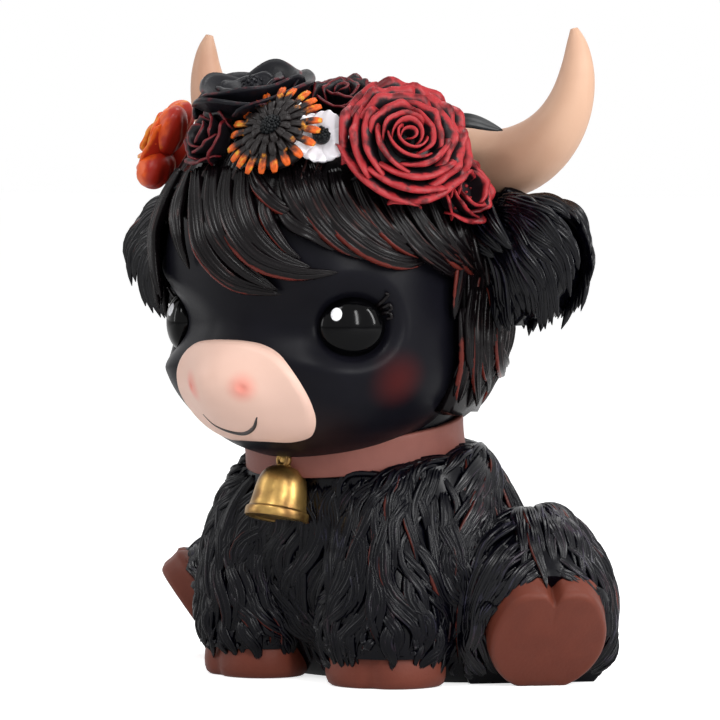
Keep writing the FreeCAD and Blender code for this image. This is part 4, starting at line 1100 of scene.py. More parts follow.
# a place on the ear's front or back face, with the hollow in front
def earPlace(side, u, v, face, lift):
    bulge = np.sqrt(np.maximum(0.03, 1 - ((u - 0.34) / 0.62)**2 - ((v + 0.02) / 0.52)**2)) * ears["thick"]
    hollow = 4.2 * np.exp(-((u - 0.20) / 0.20)**2 - ((v + 0.10) / 0.22)**2) if face < 0 else 0
    along = ears["length"] * u
    deep = face * (bulge - hollow + lift)
    turn = math.radians(ears["turn"])
    x = ears["root"] + along * math.cos(turn) - deep * math.sin(turn)
    y = ears["setback"] + along * math.sin(turn) + deep * math.cos(turn)
    z = ears["level"] + ears["height"] * v
    return np.array([side * x, y, z])


def buildEars():
    fan = np.array([[earShare(*spot) for spot in route] for route in earFan])
    front = [smoothPath([earShare(*spot) for spot in route], 18) for route in earFront]

    def fanRoute(f):  # a route between two of the fan's locks
        i = min(int(f), len(fan) - 2)
        return fan[i] + (fan[i + 1] - fan[i]) * (f - i)

    for side, label in sides:
        batch = Batch()
        dice = random.Random(31)

        def earLock(flatPath, face, rise, width, height, pick, tip=5.0):
            path = np.array([earPlace(side, u, v, face, r) for (u, v, _), r in zip(flatPath, rise)])
            out = np.tile(np.array([0.0, float(face), 0.0]), (len(path), 1))
            addLock(batch, path, out, width, height, max(3, round(width / 0.45)), pick, tipPower=tip)

        t = np.linspace(0, 1, 18)
        for face in (-1, 1):
            for layer, count in ((0, ears["fan"]), (1, ears["fan"] * 2 // 3)):
                for k in range(count):
                    f = np.clip((k + dice.uniform(0.2, 0.8)) / count, 0, 1) * (len(fan) - 1)
                    route = smoothPath(fanRoute(f), 40)
                    start = dice.uniform(0.0, 0.3) if layer else 0.0
                    reach = dice.uniform(0.72, 0.98) if layer else dice.uniform(0.93, 1.02)
                    lo, hi = int(start * 39), int(min(1.0, reach) * 39)
                    route = smoothPath(route[lo:hi + 1:3], 18)
                    route[:, :2] += (0.014 * np.sin(t * 6 + dice.uniform(0, 6)))[:, None]
                    rise = 0.1 + layer * 0.9 + 0.7 * np.sin(t * math.pi)
                    earLock(route, face, rise, dice.uniform(*ears["halfWidth"]), 1.5, dice.random())
        for route in front:
            earLock(route, -1, 2.6 + 1.4 * np.sin(t * math.pi), 2.9, 2.2, dice.uniform(0.3, 1), 3.0)
            earLock(route, 1, 1.2 + 0.8 * np.sin(t * math.pi), 2.9, 2.0, dice.uniform(0.3, 1), 3.0)
        bed = [smoothPath(fanRoute(k / 15 * (len(fan) - 1)) * np.array([0.82, 0.82, 1]), 14)
               for k in range(16)]
        shell = [earPlace(side, u, v, face, -0.8) for face in (-1, 1) for row in bed for u, v, _ in row]
        batch.add(shell, sheetFaces(16, 14))
        # the ears take the glossier fur with painted highlight on its crests
        batch.piece(label + "EarLocks", glossPaintedHighlightMaterial, "dark_fur", (label + "_ear",))


# horns

# the centre line is an arc, from the root's bearing to the tip's
horns = {"spread": 32.4, "setback": 9.5, "level": 142, "curve": 23.6, "root": -112, "tip": 17,
         "radius": 8.2, "uneven": (0.012, 0.01)}
hornShares = [(0, 1.0), (0.16, 1.0), (0.34, 0.92), (0.52, 0.78), (0.70, 0.61), (0.86, 0.41),
              (0.95, 0.25), (1, 0.11)]
hornLook = {"base": (0.62, 0.385, 0.265), "shade": (0.47, 0.240, 0.155), "patches": 30, "amount": 0.75,
            "roughness": 0.46, "grain": 1500, "bump": 0.2, "specular": 0.3}
hornMaterial = paintedMaterial("boneHorn", hornLook)


def buildHorns():
    rings, spots = 64, 48
    t = np.linspace(0, 1, rings)
    t = 1 - (1 - t)**1.25
    angle = np.radians(horns["root"] + (horns["tip"] - horns["root"]) * t)
    radius = horns["radius"] * smoothTable(t, hornShares)
    turn = fullTurn(spots)
    for side, label in sides:
        centre = np.stack([horns["spread"] + horns["curve"] * np.cos(angle),
                           np.full(rings, horns["setback"]),
                           horns["level"] + horns["curve"] * np.sin(angle)], -1)
        outward = np.stack([np.cos(angle), 0 * angle, np.sin(angle)], -1)
        along = t[:, None]
        wide, narrow = horns["uneven"]
        uneven = 1 + wide * np.sin(3 * turn[None] + 9 * along) + narrow * np.sin(2 * turn[None] - 14 * along)
        ring = radius[:, None, None] * uneven[..., None]
        points = centre[:, None] + ring * (outward[:, None] * np.cos(turn)[None, :, None]
                                           + np.array([0, 1, 0]) * np.sin(turn)[None, :, None])
        points[..., 0] *= side
        faces = ringFaces(rings, spots)
        addPiece(label + "HornShell", points.reshape(-1, 3), faces, hornMaterial,
                 replaced=(label + "_horn",))


# collar and bell

collar = {"radius": 25.5, "thick": 2.0, "height": 8, "tilt": 8, "level": 54.5, "forward": 2,
          "soft": 0.55, "chamfer": 0.3, "swell": 0.12, "dip": 0.22}
collarMaterial = paintedMaterial("brownCollar", {
    "base": (0.205, 0.072, 0.056), "shade": (0.150, 0.048, 0.038), "patches": 110, "amount": 0.6,
    "roughness": 0.5, "grain": 1100, "bump": 0.3, "specular": 0.25})
bell = {"height": 12.5, "mouth": 7.4, "lean": 15, "forward": 26.4, "top": 49.8, "loop": 1.45,
        "wire": 0.72, "ring": (0.3, -0.9, 1.5), "filling": (1.5, 1.6, 0.45),
        "foot": [(2.6, -0.6), (2.0, 0.2), (1.2, 0.8)]}  # radius and level
bellShares = [(0.03, 0.0), (0.30, 0.015), (0.52, 0.07), (0.67, 0.17), (0.76, 0.30), (0.81, 0.45),
              (0.84, 0.60), (0.875, 0.72), (0.90, 0.79), (0.915, 0.815), (0.965, 0.825), (0.99, 0.85),
              (1.0, 0.89), (1.0, 0.95), (0.985, 0.99), (0.95, 1.0), (0.86, 0.99), (0.80, 0.955),
              (0.55, 0.94), (0.25, 0.935), (0.03, 0.935)]
goldMaterial = paintedMaterial("antiqueGold", {
    "base": (0.45, 0.28, 0.085), "shade": (0.13, 0.062, 0.020), "patches": 170, "amount": 0.95,
    "roughness": 0.34, "grain": 900, "bump": 0.3, "metallic": 0.85})


def lathe(profile, spots, turnBy, origin):
    turn = fullTurn(spots)
    r, z = profile[:, :1], np.broadcast_to(profile[:, 1:], (len(profile), spots))
    points = np.stack([r * np.cos(turn), r * np.sin(turn), z], -1)
    return points.reshape(-1, 3) @ np.array(turnBy).T + np.array(origin)


def buildCollar():
    half, outer = collar["height"] / 2, collar["radius"]
    inner = outer - collar["thick"]
    soft, chamfer = collar["soft"], collar["chamfer"]
    quarter = np.linspace(0, math.pi / 2, 5)
    face = np.linspace(half - 1.2, -half + 1.2, 10)
    profile = [(inner, -half + chamfer), (inner, half - chamfer), (inner + chamfer, half)]
    profile += [(outer - soft + soft * math.sin(a), half - soft + soft * math.cos(a)) for a in quarter]
    profile += [(outer + collar["swell"] - collar["dip"] * (1 - (z / half)**2), z) for z in face]
    profile += [(outer - soft + soft * math.cos(a), -half + soft - soft * math.sin(a)) for a in quarter]
    profile = np.array(profile + [(inner + chamfer, -half)])
    points = lathe(profile, 160, turned(collar["tilt"], "X"), (0, -collar["forward"], collar["level"]))
    faces = ringFaces(len(profile), 160, capped=False)
    last = (len(profile) - 1) * 160
    faces += [[last + s, last + (s + 1) % 160, (s + 1) % 160, s] for s in range(160)]
    addPiece("collarBand", points, faces, collarMaterial, ("collar",))


def buildBell():
    profile = np.array([(bell["mouth"] * r, -bell["height"] * z) for r, z in bellShares])
    t = np.linspace(0, len(profile) - 1, 90)
    profile = np.stack([np.interp(t, range(len(profile)), profile[:, k]) for k in range(2)], 1)
    profile = evened(profile, 2)
    where = (0, -bell["forward"], bell["top"])
    leaned = turned(-bell["lean"], "X")
    points = lathe(profile, 96, leaned, where)
    addPiece("bellCup", points, ringFaces(len(profile), 96), goldMaterial, ("bell",))
    batch = Batch()
    turn = np.linspace(0, 2 * math.pi, 41)
    ring = np.stack([bell["loop"] * np.sin(turn), 0 * turn, bell["loop"] * 1.1 * np.cos(turn)], 1)
    centre = np.array(where) + np.array(bell["ring"])
    ring = ring @ np.array(leaned).T + centre
    tube(batch, ring, bell["wire"], 12, (0, 1, 0.2))
    axes = ((1, 0, 0), (0, 0.25, 0.97), (0, -0.97, 0.25))
    disc, faces = ellipsoidPoints(centre, bell["filling"], 12, 24, axes)
    batch.add(disc, faces)
    foot = np.array([(0, 0, z) for _, z in bell["foot"]]) @ np.array(leaned).T + np.array(where)
    tube(batch, foot, [r for r, _ in bell["foot"]], 20, (0, 1, 0))
    batch.piece("bellRing", goldMaterial, "antique_gold", ("bell_loop",))


# hooves

hooves = {"spread": 19.4, "forward": 14.2, "splay": 20, "halfWidth": 14, "halfDepth": 11.6,
          "cleft": [(0.085, 0.16), (0.03, 0.45)], "uneven": 0.008}
hoofShares = [(0.80, 0.0), (0.90, 0.15), (0.955, 0.7), (0.985, 1.8), (1.0, 3.4), (0.995, 5.2),
              (0.97, 7.4), (0.93, 9.4), (0.86, 10.6), (0.72, 11.0), (0.3, 11.0)]
soles = {"spread": 53.6, "setback": 2.4, "lift": 10.6, "yaw": -40, "pitch": 126, "halfLength": 15.4,
         "halfWidth": 13.4, "depth": 9, "soft": 1.6, "cleft": [(0.16, 0.10), (0.12, 0.34)]}
soleCentre = Vector((soles["spread"], soles["setback"], soles["lift"]))
soleTurn = turned(soles["yaw"], "Z") @ turned(soles["pitch"], "Y")
soleFacing = soleTurn @ Vector((0, 0, 1))
hoofMaterial = paintedMaterial("redBrownHoof", {
    "base": (0.140, 0.033, 0.019), "shade": (0.105, 0.024, 0.014), "patches": 120, "amount": 0.5,
    "roughness": 0.5, "grain": 1300, "bump": 0.35, "bumpDepth": 0.15, "specular": 0.22})


# the outline round a hoof with the cleft at one angle, each dip given by its depth and width
def cleftShare(turn, angle, dips):
    gap = np.angle(np.exp(1j * (turn - angle)))
    share = 1
    for depth, width in dips:
        share = share - depth * np.exp(-(gap / width)**2)
    return gap, share


def buildForeHooves():
    spots = 96
    turn = fullTurn(spots)
    cleft = cleftShare(turn, -math.pi / 2, hooves["cleft"])[1]
    for side, label in sides:
        rings = []
        for share, z in hoofShares:
            wave = 1 + hooves["uneven"] * np.sin(5 * turn + z * 0.4)
            rings.append(np.stack([hooves["halfWidth"] * share * cleft * wave * np.cos(turn),
                                   hooves["halfDepth"] * share * cleft * wave * np.sin(turn),
                                   np.full(spots, z)], -1))
        points = np.concatenate(rings) @ np.array(turned(hooves["splay"], "Z")).T
        points = points + np.array([hooves["spread"], -hooves["forward"], 0])
        points[:, 0] *= side
        addPiece(label + "ForeHoof", points, ringFaces(len(rings), spots), hoofMaterial,
                 replaced=(label + "_fore_hoof",))


def buildSoles():
    spots = 128
    turn = fullTurn(spots)
    toe, cleft = cleftShare(turn, math.pi, soles["cleft"])
    lobe = 1 + 0.04 * np.exp(-((np.abs(toe) - 0.66) / 0.3)**2)
    soft = soles["soft"]
    profile = [(0.02, 0.45), (0.25, 0.42), (0.5, 0.34), (0.72, 0.18), (0.86, 0.0)]
    steps = [(1 - (soft / soles["halfLength"]) * (1 - math.sin(a)), -soft * (1 - math.cos(a)))
             for a in np.linspace(0.1, math.pi / 2, 7)]
    profile += steps + [(1.01, -3.5), (1.03, -5), (1.06, -5.8), (1.02, -7), (0.9, -soles["depth"])]
    for side, label in sides:
        rings = []
        for share, depth in profile:
            shape = cleft * lobe if share > 0.6 else 1 - (1 - cleft * lobe) * max(0, share - 0.25) / 0.35
            rings.append(np.stack([soles["halfLength"] * share * shape * np.cos(turn),
                                   soles["halfWidth"] * share * shape * np.sin(turn),
                                   np.full(spots, depth)], -1))
        points = np.concatenate(rings) @ np.array(soleTurn).T
        points = points + np.array([soles["spread"], soles["setback"], soles["lift"]])
        points[:, 2] = np.maximum(points[:, 2], 0.02)
        points[:, 0] *= side
        addPiece(label + "HindHoof", points, ringFaces(len(rings), spots), hoofMaterial,
                 replaced=(label + "_hind_hoof",))


# flowers

redPetal = petalMaterial("redPetal", {
    "deep": (0.009, 0.006, 0.008), "rim": (0.38, 0.026, 0.032), "coverage": 0.78,
    "glaze": (0.11, 0.007, 0.010), "strokes": 330})
duskyPetal = petalMaterial("duskyPetal", {
    "deep": (0.008, 0.006, 0.008), "rim": (0.13, 0.008, 0.012), "coverage": 0.52})
poppyPetal = petalMaterial("poppyPetal", {
    "deep": (0.008, 0.008, 0.011), "rim": (0.10, 0.012, 0.018), "coverage": 0.30,
    "roughness": 0.32, "specular": 0.13})
gerberaPetal = petalMaterial("gerberaPetal", {
    "deep": (0.010, 0.007, 0.007), "rim": (0.68, 0.110, 0.012), "coverage": 0.72,
    "glaze": (0.66, 0.34, 0.03), "glazeScale": 420})
orangePetal = petalMaterial("orangePetal", {
    "deep": (0.40, 0.020, 0.009), "rim": (0.74, 0.105, 0.012), "coverage": 0.72,
    "glaze": (0.80, 0.34, 0.04), "glazeScale": 150, "roughness": 0.36, "strokes": 190})
whitePetal = petalMaterial("whitePetal", {
    "deep": (0.42, 0.38, 0.46), "rim": (0.80, 0.78, 0.82), "coverage": 1.05})
leafMaterial = paintedMaterial("blackLeaf", {
    "base": (0.0045, 0.0055, 0.0065), "shade": (0.012, 0.014, 0.016), "patches": 160,
    "roughness": 0.32, "grain": 900, "bump": 0.4, "specular": 0.14})

# where each flower sits, and the bearing and rise that it faces
flowerSeats = {
    "large_rose": ((34.6, -26.4, 122.6), 58, 27),
    "small_rose": ((39.2, -11.2, 112.0), 85, 15),
    "rear_rose": ((10.6, -18.6, 131.6), 35, 60),
    "dark_rose": ((-6.8, -43.9, 123.6), -20, 25),
    "poppy": ((-3.7, -33.0, 134.4), -5, 74),
    "gerbera": ((12.4, -43.6, 125.4), 8, 36),
    "anemone": ((22.4, -40.0, 124.0), 40, 26),
    "orange_flower": ((-34.8, -26.4, 122.6), -60, 25),
}
# each ring of petals from the outermost inwards: the radius of foot and rim, the level of both ends, the
# rim's ruffle and waves, curl, spiral, bow and thickness, then petals, overlap and the first one's bearing
ringColumns = ("foot", "rim", "low", "high", "ruffle", "waves", "curl", "spiral", "bow", "thick",
               "count", "overlap", "turn")
petalRings = {
    "large_rose": [
        (8.0, 14.6, -3, 2.2, 0.6, 2.2, 0.9, 0, 0.7, 1.15, 5, 1.35, 10),
        (7.0, 12.8, -1, 3.8, 0.55, 2.4, 0.7, 1.6, 0.8, 1.15, 5, 1.3, 40),
        (6.0, 10.6, 0, 5.0, 0.48, 2.2, 0.6, 1.8, 0.9, 1.15, 4, 1.35, 0),
        (5.2, 8.3, 1, 6.0, 0.38, 2, 0.4, 1.8, 0.8, 1.15, 4, 1.3, 35),
        (4.0, 5.9, 1, 6.8, 0.3, 1.6, 0, 1.7, 0.8, 1.0, 3, 1.35, 0),
        (2.3, 3.6, 1, 7.0, 0.18, 1, 0, 1.5, 0.8, 0.8, 2, 1.45, 60),
        (1.0, 1.7, 2, 6.6, 0.1, 1, 0, 1.0, 0.8, 0.7, 1, 0.95, 20)],
    "small_rose": [
        (4.4, 7.4, -2.5, 2.2, 0.4, 2, 0.5, 0, 0.8, 0.9, 4, 1.3, 0),
        (3.8, 5.9, -1, 3.9, 0.3, 2, 0, 1.2, 0.8, 0.9, 4, 1.3, 45),
        (3.2, 4.3, -1, 4.8, 0.2, 2, 0, 1.0, 0.8, 0.9, 3, 1.3, 10)],
    "rear_rose": [
        (4.5, 8.8, -3, 2.4, 0.5, 2, 0.6, 0, 0.8, 0.9, 5, 1.3, 0),
        (3.6, 6.6, -1, 4.2, 0.4, 2, 0, 1.4, 0.8, 0.9, 4, 1.3, 45),
        (2.2, 4.0, 0, 5.2, 0.3, 2, 0, 1.2, 0.8, 0.9, 3, 1.3, 10),
        (0.8, 1.7, 1, 5.5, 0.1, 1, 0, 1.0, 0.8, 0.7, 1, 0.95, 10)],
    "dark_rose": [
        (3.6, 6.5, -3, 2.4, 0.4, 2, 0.5, 0, 0.8, 0.9, 4, 1.3, 0),
        (2.8, 5.0, -1, 3.9, 0.3, 2, 0, 1.4, 0.8, 0.9, 4, 1.3, 40),
        (1.6, 2.9, 0, 4.8, 0.2, 1, 0, 1.3, 0.8, 0.9, 2, 1.4, 0)],
    "poppy": [
        (4.5, 14.8, -5.5, 2.0, 0.9, 1.2, 0, 0, 0.75, 1.3, 3, 1.4, 20),
        (4, 12.0, -3.5, 3.8, 0.8, 1.2, 0, 0, 0.8, 1.3, 3, 1.3, 80),
        (2, 8.0, -2, 2.6, 0.5, 2, 0, 0, 0.9, 1.3, 3, 1.3, 30)],
    "orange_flower": [
        (5.0, 8.6, 0, 4.2, 0.5, 1.4, 0, 1.5, 0.8, 0.9, 3, 1.2, 70),
        (3.0, 5.4, 1, 5.8, 0.4, 1.4, 0, 1.8, 0.8, 0.9, 3, 1.25, 0),
        (1.2, 2.6, 2, 6.6, 0.2, 1, 0, 1.3, 0.8, 0.9, 2, 1.3, 50)],
}
# what the petals of a flower share: mesh rows and columns, how narrow the painted rim is, and their outline
petalStyle = {"rows": 8, "cols": 20, "rimPower": 3.9, "round": 0.35, "rise": 1.0, "droop": 0}
roses = {  # the piece's name, material and slot, then the knob: radius, height, level, crest and bumps
    "large_rose": ("largeRose", redPetal, "red_petal", (11.5, 5.6, -2.5), {"cols": 26}),
    "small_rose": ("smallRose", redPetal, "red_petal", (5.4, 2.2, -1.5, 0.0, 26), {}),
    "rear_rose": ("rearRose", duskyPetal, "red_petal", (6.2, 3.6, -1.8), {}),
    "dark_rose": ("darkRose", duskyPetal, "dark_petal", (4.6, 2.6, -1.6), {}),
}
# the style of each of the poppy's rings
poppyStyles = [{"rows": 12, "cols": 34, "rimPower": 10, "round": 0.5, "rise": 1.3, "droop": 0.6},
               {"rows": 12, "cols": 34, "rimPower": 10, "round": 0.5, "rise": 1.4},
               {"rows": 12, "cols": 24, "rimPower": 10, "round": 0.5}]


def flowerFrame(name):
    place, bearing, rise = flowerSeats[name]
    out = facing(bearing, rise)
    across = facing(bearing + 90)
    return np.array([across, out.cross(across), out]), np.array(place)


# one petal: a curved wall or blade, from a foot radius to a rim radius, over an arc
def addPetal(batch, name, look, start, arc, pick, dice):
    u = np.linspace(0, 1, look["cols"])[None]
    v = np.linspace(0, 1, look["rows"])[:, None]
    edge = np.sin(np.pi * u)**look["round"]
    radius = look["foot"] + (look["rim"] - look["foot"]) * v**look["bow"] + look["spiral"] * (u - 0.5)
    radius = radius + look["curl"] * np.maximum(0, (v - 0.7) / 0.3)**2
    phase = dice.uniform(0, 6.3)
    waves = look["waves"]
    ruffle = look["ruffle"] * (np.sin(u * waves * 6.283 + phase)
                               + 0.5 * np.sin(u * waves * 11.7 + phase * 2))
    height = look["low"] + (look["high"] - look["low"]) * v**look["rise"] * (0.45 + 0.55 * edge)
    height = height + ruffle * v**2 - look["droop"] * np.maximum(0, (v - 0.6) / 0.4)**2
    radius = radius + ruffle * 0.55 * v**2
    turn = math.radians(start) + np.radians(arc) * (u - 0.5) * (0.75 + 0.25 * v)
    outer = np.stack([radius * np.cos(turn), radius * np.sin(turn), np.broadcast_to(height, radius.shape)],
                     -1)
    normal = unit(np.cross(np.gradient(outer, axis=1), np.gradient(outer, axis=0)))
    thick = look["thick"] * (0.45 + 0.55 * np.sin(np.pi * np.clip(u, 0.06, 0.94)))[..., None] \
        * np.where(v > 0.97, 0.62, 1.0)[..., None]
    points = np.concatenate([outer.reshape(-1, 3), (outer - normal * thick).reshape(-1, 3)])
    crest = np.clip(v**look["rimPower"] + 0.25 * (1 - edge) * v, 0, 1) + 0 * u
    turnBy, origin = flowerFrame(name)
    batch.add(points @ turnBy + origin, sheetFaces(look["rows"], look["cols"]),
              crest=np.tile(crest.ravel(), 2), pick=pick)


# all rings of a flower, with one style for each of them
def addRings(batch, name, dice, styles):
    for row, style in zip(petalRings[name], styles):
        look = {**petalStyle, **dict(zip(ringColumns, row)), **style}
        arc = 360 / look["count"] * look["overlap"]
        for k in range(look["count"]):
            start = look["turn"] + 360 / look["count"] * k + dice.uniform(-6, 6)
            addPetal(batch, name, look, start, arc, dice.random(), dice)


# a domed middle, with small bumps spread over it
def addKnob(batch, name, radius, height, level, crest=0.0, bumps=0):
    turnBy, origin = flowerFrame(name)
    points, faces = ellipsoidPoints((0, 0, level), (radius, radius, height), 18, 28)
    batch.add(points @ turnBy + origin, faces, crest=crest)
    dice = random.Random(3)
    for k in range(bumps):
        share = math.sqrt((k + 0.5) / bumps)
        turn = k * 2.39996
        r = radius * 0.92 * share
        z = level + height * math.sqrt(max(0.05, 1 - share**2 * 0.85))
        size = dice.uniform(0.32, 0.52)
        centre = (r * math.cos(turn), r * math.sin(turn), z)
        points, faces = ellipsoidPoints(centre, (size, size, size * 1.3), 6, 8)
        batch.add(points @ turnBy + origin, faces, crest=0.75)


def buildRoses():
    dice = random.Random(5)
    for name, (label, material, slot, knob, style) in roses.items():
        batch = Batch()
        addRings(batch, name, dice, [style] * len(petalRings[name]))
        addKnob(batch, name, *knob)
        batch.piece(label, material, slot, (name,))


def buildPoppy():
    batch = Batch()
    addRings(batch, "poppy", random.Random(9), poppyStyles)
    addKnob(batch, "poppy", 8, 5.5, -5.0)
    addKnob(batch, "poppy", 2.6, 2.4, 1.4, 0.4, 20)
    batch.piece("poppyBloom", poppyPetal, "dark_petal", ("poppy",))


# each ring of narrow petals: how many, their reach and level, and how strongly the tips are painted
gerberaRings = [(21, 11.8, 0.6, 1.0), (18, 8.0, 1.6, 0.55), (13, 5.2, 2.2, 0.3)]
# the cross-section of one, across and up: two ridges along its top
gerberaSection = [(-1, 0.0), (-0.62, 0.62), (-0.22, 0.34), (0.22, 0.34), (0.62, 0.62), (1, 0.0),
                  (0.5, -0.35), (-0.5, -0.35)]


def buildGerbera():
    dice = random.Random(12)
    batch = Batch()
    rows, origin = flowerFrame("gerbera")
    s, hump = np.array(gerberaSection).T
    t = np.linspace(0, 1, 12)
    for layer, (count, reach, lift, paint) in enumerate(gerberaRings):
        for k in range(count):
            turn = 2 * math.pi * (k + 0.5 * layer + dice.uniform(-0.12, 0.12)) / count
            long = reach * dice.uniform(0.94, 1.04)
            r = 1.6 + (long - 1.6) * t
            z = lift + 1.3 * np.sin(t * 2.2) - 0.9 * t**3 + dice.uniform(-0.3, 0.3)
            path = np.stack([r * math.cos(turn), r * math.sin(turn), z], 1)
            side = np.array([-math.sin(turn), math.cos(turn), 0])
            width = 0.35 + 0.78 * t**0.8
            width[-1] *= 0.55
            width[-2] *= 0.88
            points = path[:, None] + side * (s[None, :] * width[:, None])[..., None] \
                + np.array([0, 0, 1.0]) * (hump[None, :] * (0.35 + 0.5 * width[:, None]))[..., None]
            crest = np.repeat(t**1.6, len(s)) * paint
            batch.add(points.reshape(-1, 3) @ rows + origin, ringFaces(12, len(s)), crest=crest,
                      pick=dice.random())
    addKnob(batch, "gerbera", 8.2, 3.6, -2.2)
    batch.piece("gerberaPetals", gerberaPetal, "orange_petal", ("gerbera",))
    heart = Batch()
    addKnob(heart, "gerbera", 2.7, 2.2, 2.0, 0.1, 46)
    heart.piece("gerberaHeart", leafMaterial, "dark_petal")


def buildAnemone():
    dice = random.Random(14)
    batch = Batch()
    rows, origin = flowerFrame("anemone")
    petals, n = 6, 16
    u = np.linspace(-1, 1, n)[None]
    v = np.linspace(0, 1, n)[:, None]
    for k in range(petals):
        turn = 2 * math.pi * (k + 0.2) / petals
        wide = 3.3 * np.sqrt(np.maximum(0.0, 1 - (1.9 * (v - 0.56))**2)) * 0.9 + 0.3
        r = 1.2 + 5.1 * v - 0.5 * v * u**2
        x = r * math.cos(turn) - wide * u * math.sin(turn)
        y = r * math.sin(turn) + wide * u * math.cos(turn)
        z = 0.5 + 1.5 * v**1.5 + 0.35 * np.sin(6 * u + k) * v + 0.25 * (k % 2) - 0.5 * u**2
        outer = np.stack([x + 0 * z, y + 0 * z, z + 0 * x], -1).reshape(-1, 3)
        inner = outer - np.array([0, 0, 0.8])
        crest = np.broadcast_to(0.35 + 0.65 * v, (n, n)).ravel()
        batch.add(np.concatenate([outer, inner]) @ rows + origin, sheetFaces(n, n),
                  crest=np.concatenate([crest, crest]), pick=dice.random())
    addKnob(batch, "anemone", 3.6, 1.6, -0.8, 0.6)
    batch.piece("anemonePetals", whitePetal, "white_petal", ("anemone",))
    heart = Batch()
    addKnob(heart, "anemone", 2.0, 1.6, 1.7, 0.2, 22)
    heart.piece("anemoneHeart", leafMaterial, "dark_petal", ("anemone_centre",))


def buildOrangeFlower():
    dice = random.Random(16)
    batch = Batch()
    rows, origin = flowerFrame("orange_flower")
    lobes = [  # across, up, out, then sizes and lean of each puffy petal
        (2.6, -6.0, 0.6, 6.4, 4.8, 4.0, -18), (-5.0, -2.0, 0.2, 5.0, 6.2, 3.6, 20),
        (4.0, 3.2, 0.8, 4.8, 6.8, 3.4, -30), (-1.6, 5.6, 1.4, 5.0, 5.2, 3.4, 12),
        (1.4, 0.6, 2.8, 4.4, 6.0, 3.0, -34), (-2.2, -1.4, 3.4, 3.2, 4.6, 2.6, 8)]
    for a, b, c, sa, sb, sc, lean in lobes:
        points, faces = ellipsoidPoints((0, 0, 0), (sa, sb, sc), 30, 40)
        fold = 0.05 * np.sin(points[:, 0] * 1.3 + points[:, 1] * 0.9 + a) * points[:, 1]
        points[:, 2] += fold + 0.18 * np.sin(points[:, 0] * 2.1)
        points = points @ np.array(turned(lean, "Z")).T + np.array([a, b, c])
        crest = np.clip(0.5 + points[:, 2] / 9, 0, 1)
        batch.add(points @ rows + origin, faces, crest=crest, pick=dice.random())
    addRings(batch, "orange_flower", dice, [{"cols": 22, "rimPower": 1.6}] * 3)
    batch.piece("orangeBloom", orangePetal, "orange_petal", ("orange_flower",))


# leaves by picture points or places, with how far they stand off the hair and their half width
leafPaths = {
    "upper_leaf": ([(28, -9, 122.5), (36, -8.5, 128), (46, -5, 126)], 0, 3.4),
    "side_leaf": ([(503, 191), (528, 190), (552, 198)], 1.2, 2.2),
    "hanging_leaf": ([(188, 146), (180, 166), (184, 188)], 1.0, 2.2),
}


def buildLeaves(hullTree):
    for name, (knots, off, width) in leafPaths.items():
        batch = Batch()
        spots = []
        for knot in knots:
            if len(knot) == 3:
                spots.append(knot)
                continue
            hit, normal = fromPhoto(hullTree, *knot)
            spots.append((hit + normal * off)[:])
        path = smoothPath(spots, 22)
        middle = hullTree.find_nearest(Vector(path[11]))[1]
        out = np.tile(np.array((middle + lookBack * 0.7 + Vector((0, 0, 0.5))).normalized()), (22, 1))
        addLock(batch, path, out, width, 0.9, 3, 0.0, rootShare=0.5, tipPower=3.0)
        batch.piece(name.split("_")[0] + "LeafBlade", leafMaterial, "dark_leaf", (name,))


# the castings under the fur take its colour, and the far hind leg gets a lower bed
def dressSolids():
    points, tris = castingOf("right_hind_leg")
    addPiece("rightThighBed", points, tris.tolist(), furMaterial, replaced=("right_hind_leg",))
    for name in bodyNodes:
        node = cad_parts[name]
        node.data.materials.clear()
        node.data.materials.append(furMaterial)


def buildHead():
    rings, spots = 170, 300
    points = hollowEyes(headPoints(rings, spots))
    addPiece("headShell", points, ringFaces(rings, spots), hideMaterial, replaced=("head",))
    return gridTree(points, rings, spots)


# light and floor

studio = {"world": 0.32, "floor": (0.80, 0.80, 0.80, 1), "floorGlow": 0.72}
lamps = {  # bearing, rise, distance and width, height in metres, watts
    "keyLamp": (10, 50, 1.0, 0.22, 0.22, 2.3),
    "frontBox": (61, 22, 1.0, 0.070, 0.60, 4.0),
    "sideBox": (100, 24, 0.9, 0.080, 0.60, 4.6),
    "leftBox": (-55, 18, 1.0, 0.14, 0.60, 1.8),
    "topLamp": (190, 72, 1.1, 0.40, 0.40, 3.2),
}


# the white background for rays from the camera, and for what metal and gloss reflect
def backgroundMask(tree):
    path = tree.nodes.new("ShaderNodeLightPath")
    seen = mathNode(tree, "MAXIMUM", path.outputs["Is Camera Ray"], path.outputs["Is Glossy Ray"])
    return mathNode(tree, "MAXIMUM", seen, path.outputs["Is Transmission Ray"])


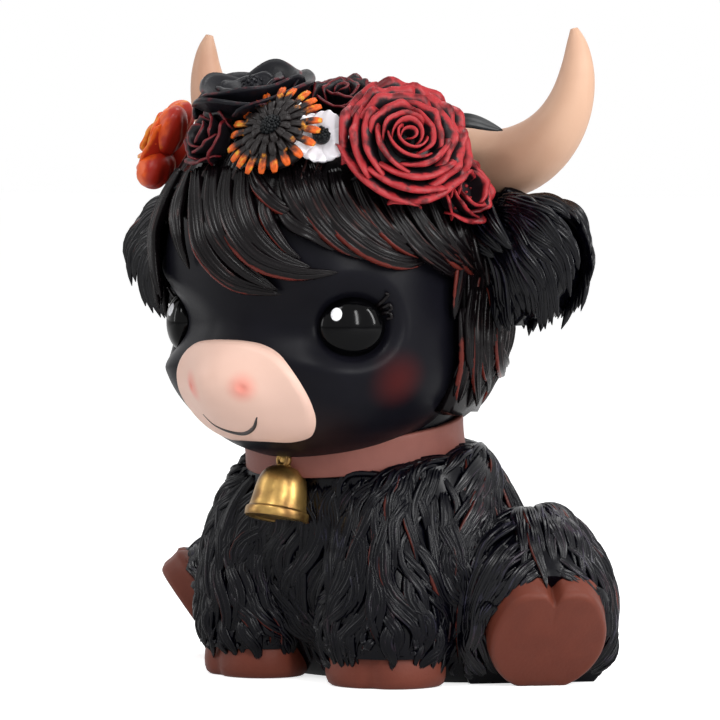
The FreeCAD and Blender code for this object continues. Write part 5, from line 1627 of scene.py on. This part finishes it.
def buildStudio():
    world = bpy.data.worlds.new("studioWorld")
    bpy.context.scene.world = world
    world.use_nodes = True
    tree = world.node_tree
    back = tree.nodes["Background"]
    back.inputs["Color"].default_value = (1, 1, 1, 1)
    strength = rangeNode(tree, backgroundMask(tree), 0.0, 1.0, studio["world"], 1.0)
    tree.links.new(strength, back.inputs["Strength"])
    for name, (bearing, rise, distance, width, height, watts) in lamps.items():
        light = bpy.data.lights.new(name, "AREA")
        light.shape = "RECTANGLE"
        light.size, light.size_y = width, height
        light.energy = watts
        lamp = bpy.data.objects.new(name, light)
        bpy.context.scene.collection.objects.link(lamp)
        target = Vector((0, -0.01, 0.075))
        lamp.location = target + facing(bearing, rise) * distance
        lamp.rotation_euler = (lamp.location - target).to_track_quat("Z", "Y").to_euler()
    floorMaterial, tree, shader = newMaterial("paleFloor", 0.1)
    shader.inputs["Roughness"].default_value = 0.9
    shader.inputs["Base Color"].default_value = studio["floor"]
    path = tree.nodes.new("ShaderNodeLightPath")
    seen = mathNode(tree, "MAXIMUM", path.outputs["Is Camera Ray"], path.outputs["Is Transmission Ray"])
    seen = mathNode(tree, "MAXIMUM", seen, mathNode(tree, "MULTIPLY", path.outputs["Is Glossy Ray"], 0.2))
    glow = mathNode(tree, "MULTIPLY", seen, studio["floorGlow"])
    shader.inputs["Emission Color"].default_value = (1, 1, 1, 1)
    tree.links.new(glow, shader.inputs["Emission Strength"])
    mesh = bpy.data.meshes.new("paleFloor")
    reach = 8
    corners = [(-reach, -reach, 0), (reach, -reach, 0), (reach, reach, 0), (-reach, reach, 0)]
    mesh.from_pydata(corners, [], [[0, 1, 2, 3]])
    mesh.materials.append(floorMaterial)
    floor = bpy.data.objects.new("paleFloor", mesh)
    bpy.context.scene.collection.objects.link(floor)


makeCamera()
buildStudio()
dressSolids()
headTree = buildHead()
buildEyes()
buildLashes(headTree)
buildMuzzle()
buildSmile()
print("face built")
hullTree = gridTree(hairHull(70, 120), 70, 120)
buildFringe(hullTree, headTree)
buildBackHair(hullTree)
buildEars()
buildHorns()
print("hair, ears and horns built")
buildCollar()
buildBell()
buildForeHooves()
buildSoles()
print("collar, bell and hooves built")
buildRoses()
buildPoppy()
buildGerbera()
buildAnemone()
buildOrangeFlower()
buildLeaves(hullTree)
print("flowers built")
buildBodyFur()
bpy.context.scene.view_settings.view_transform = "Standard"
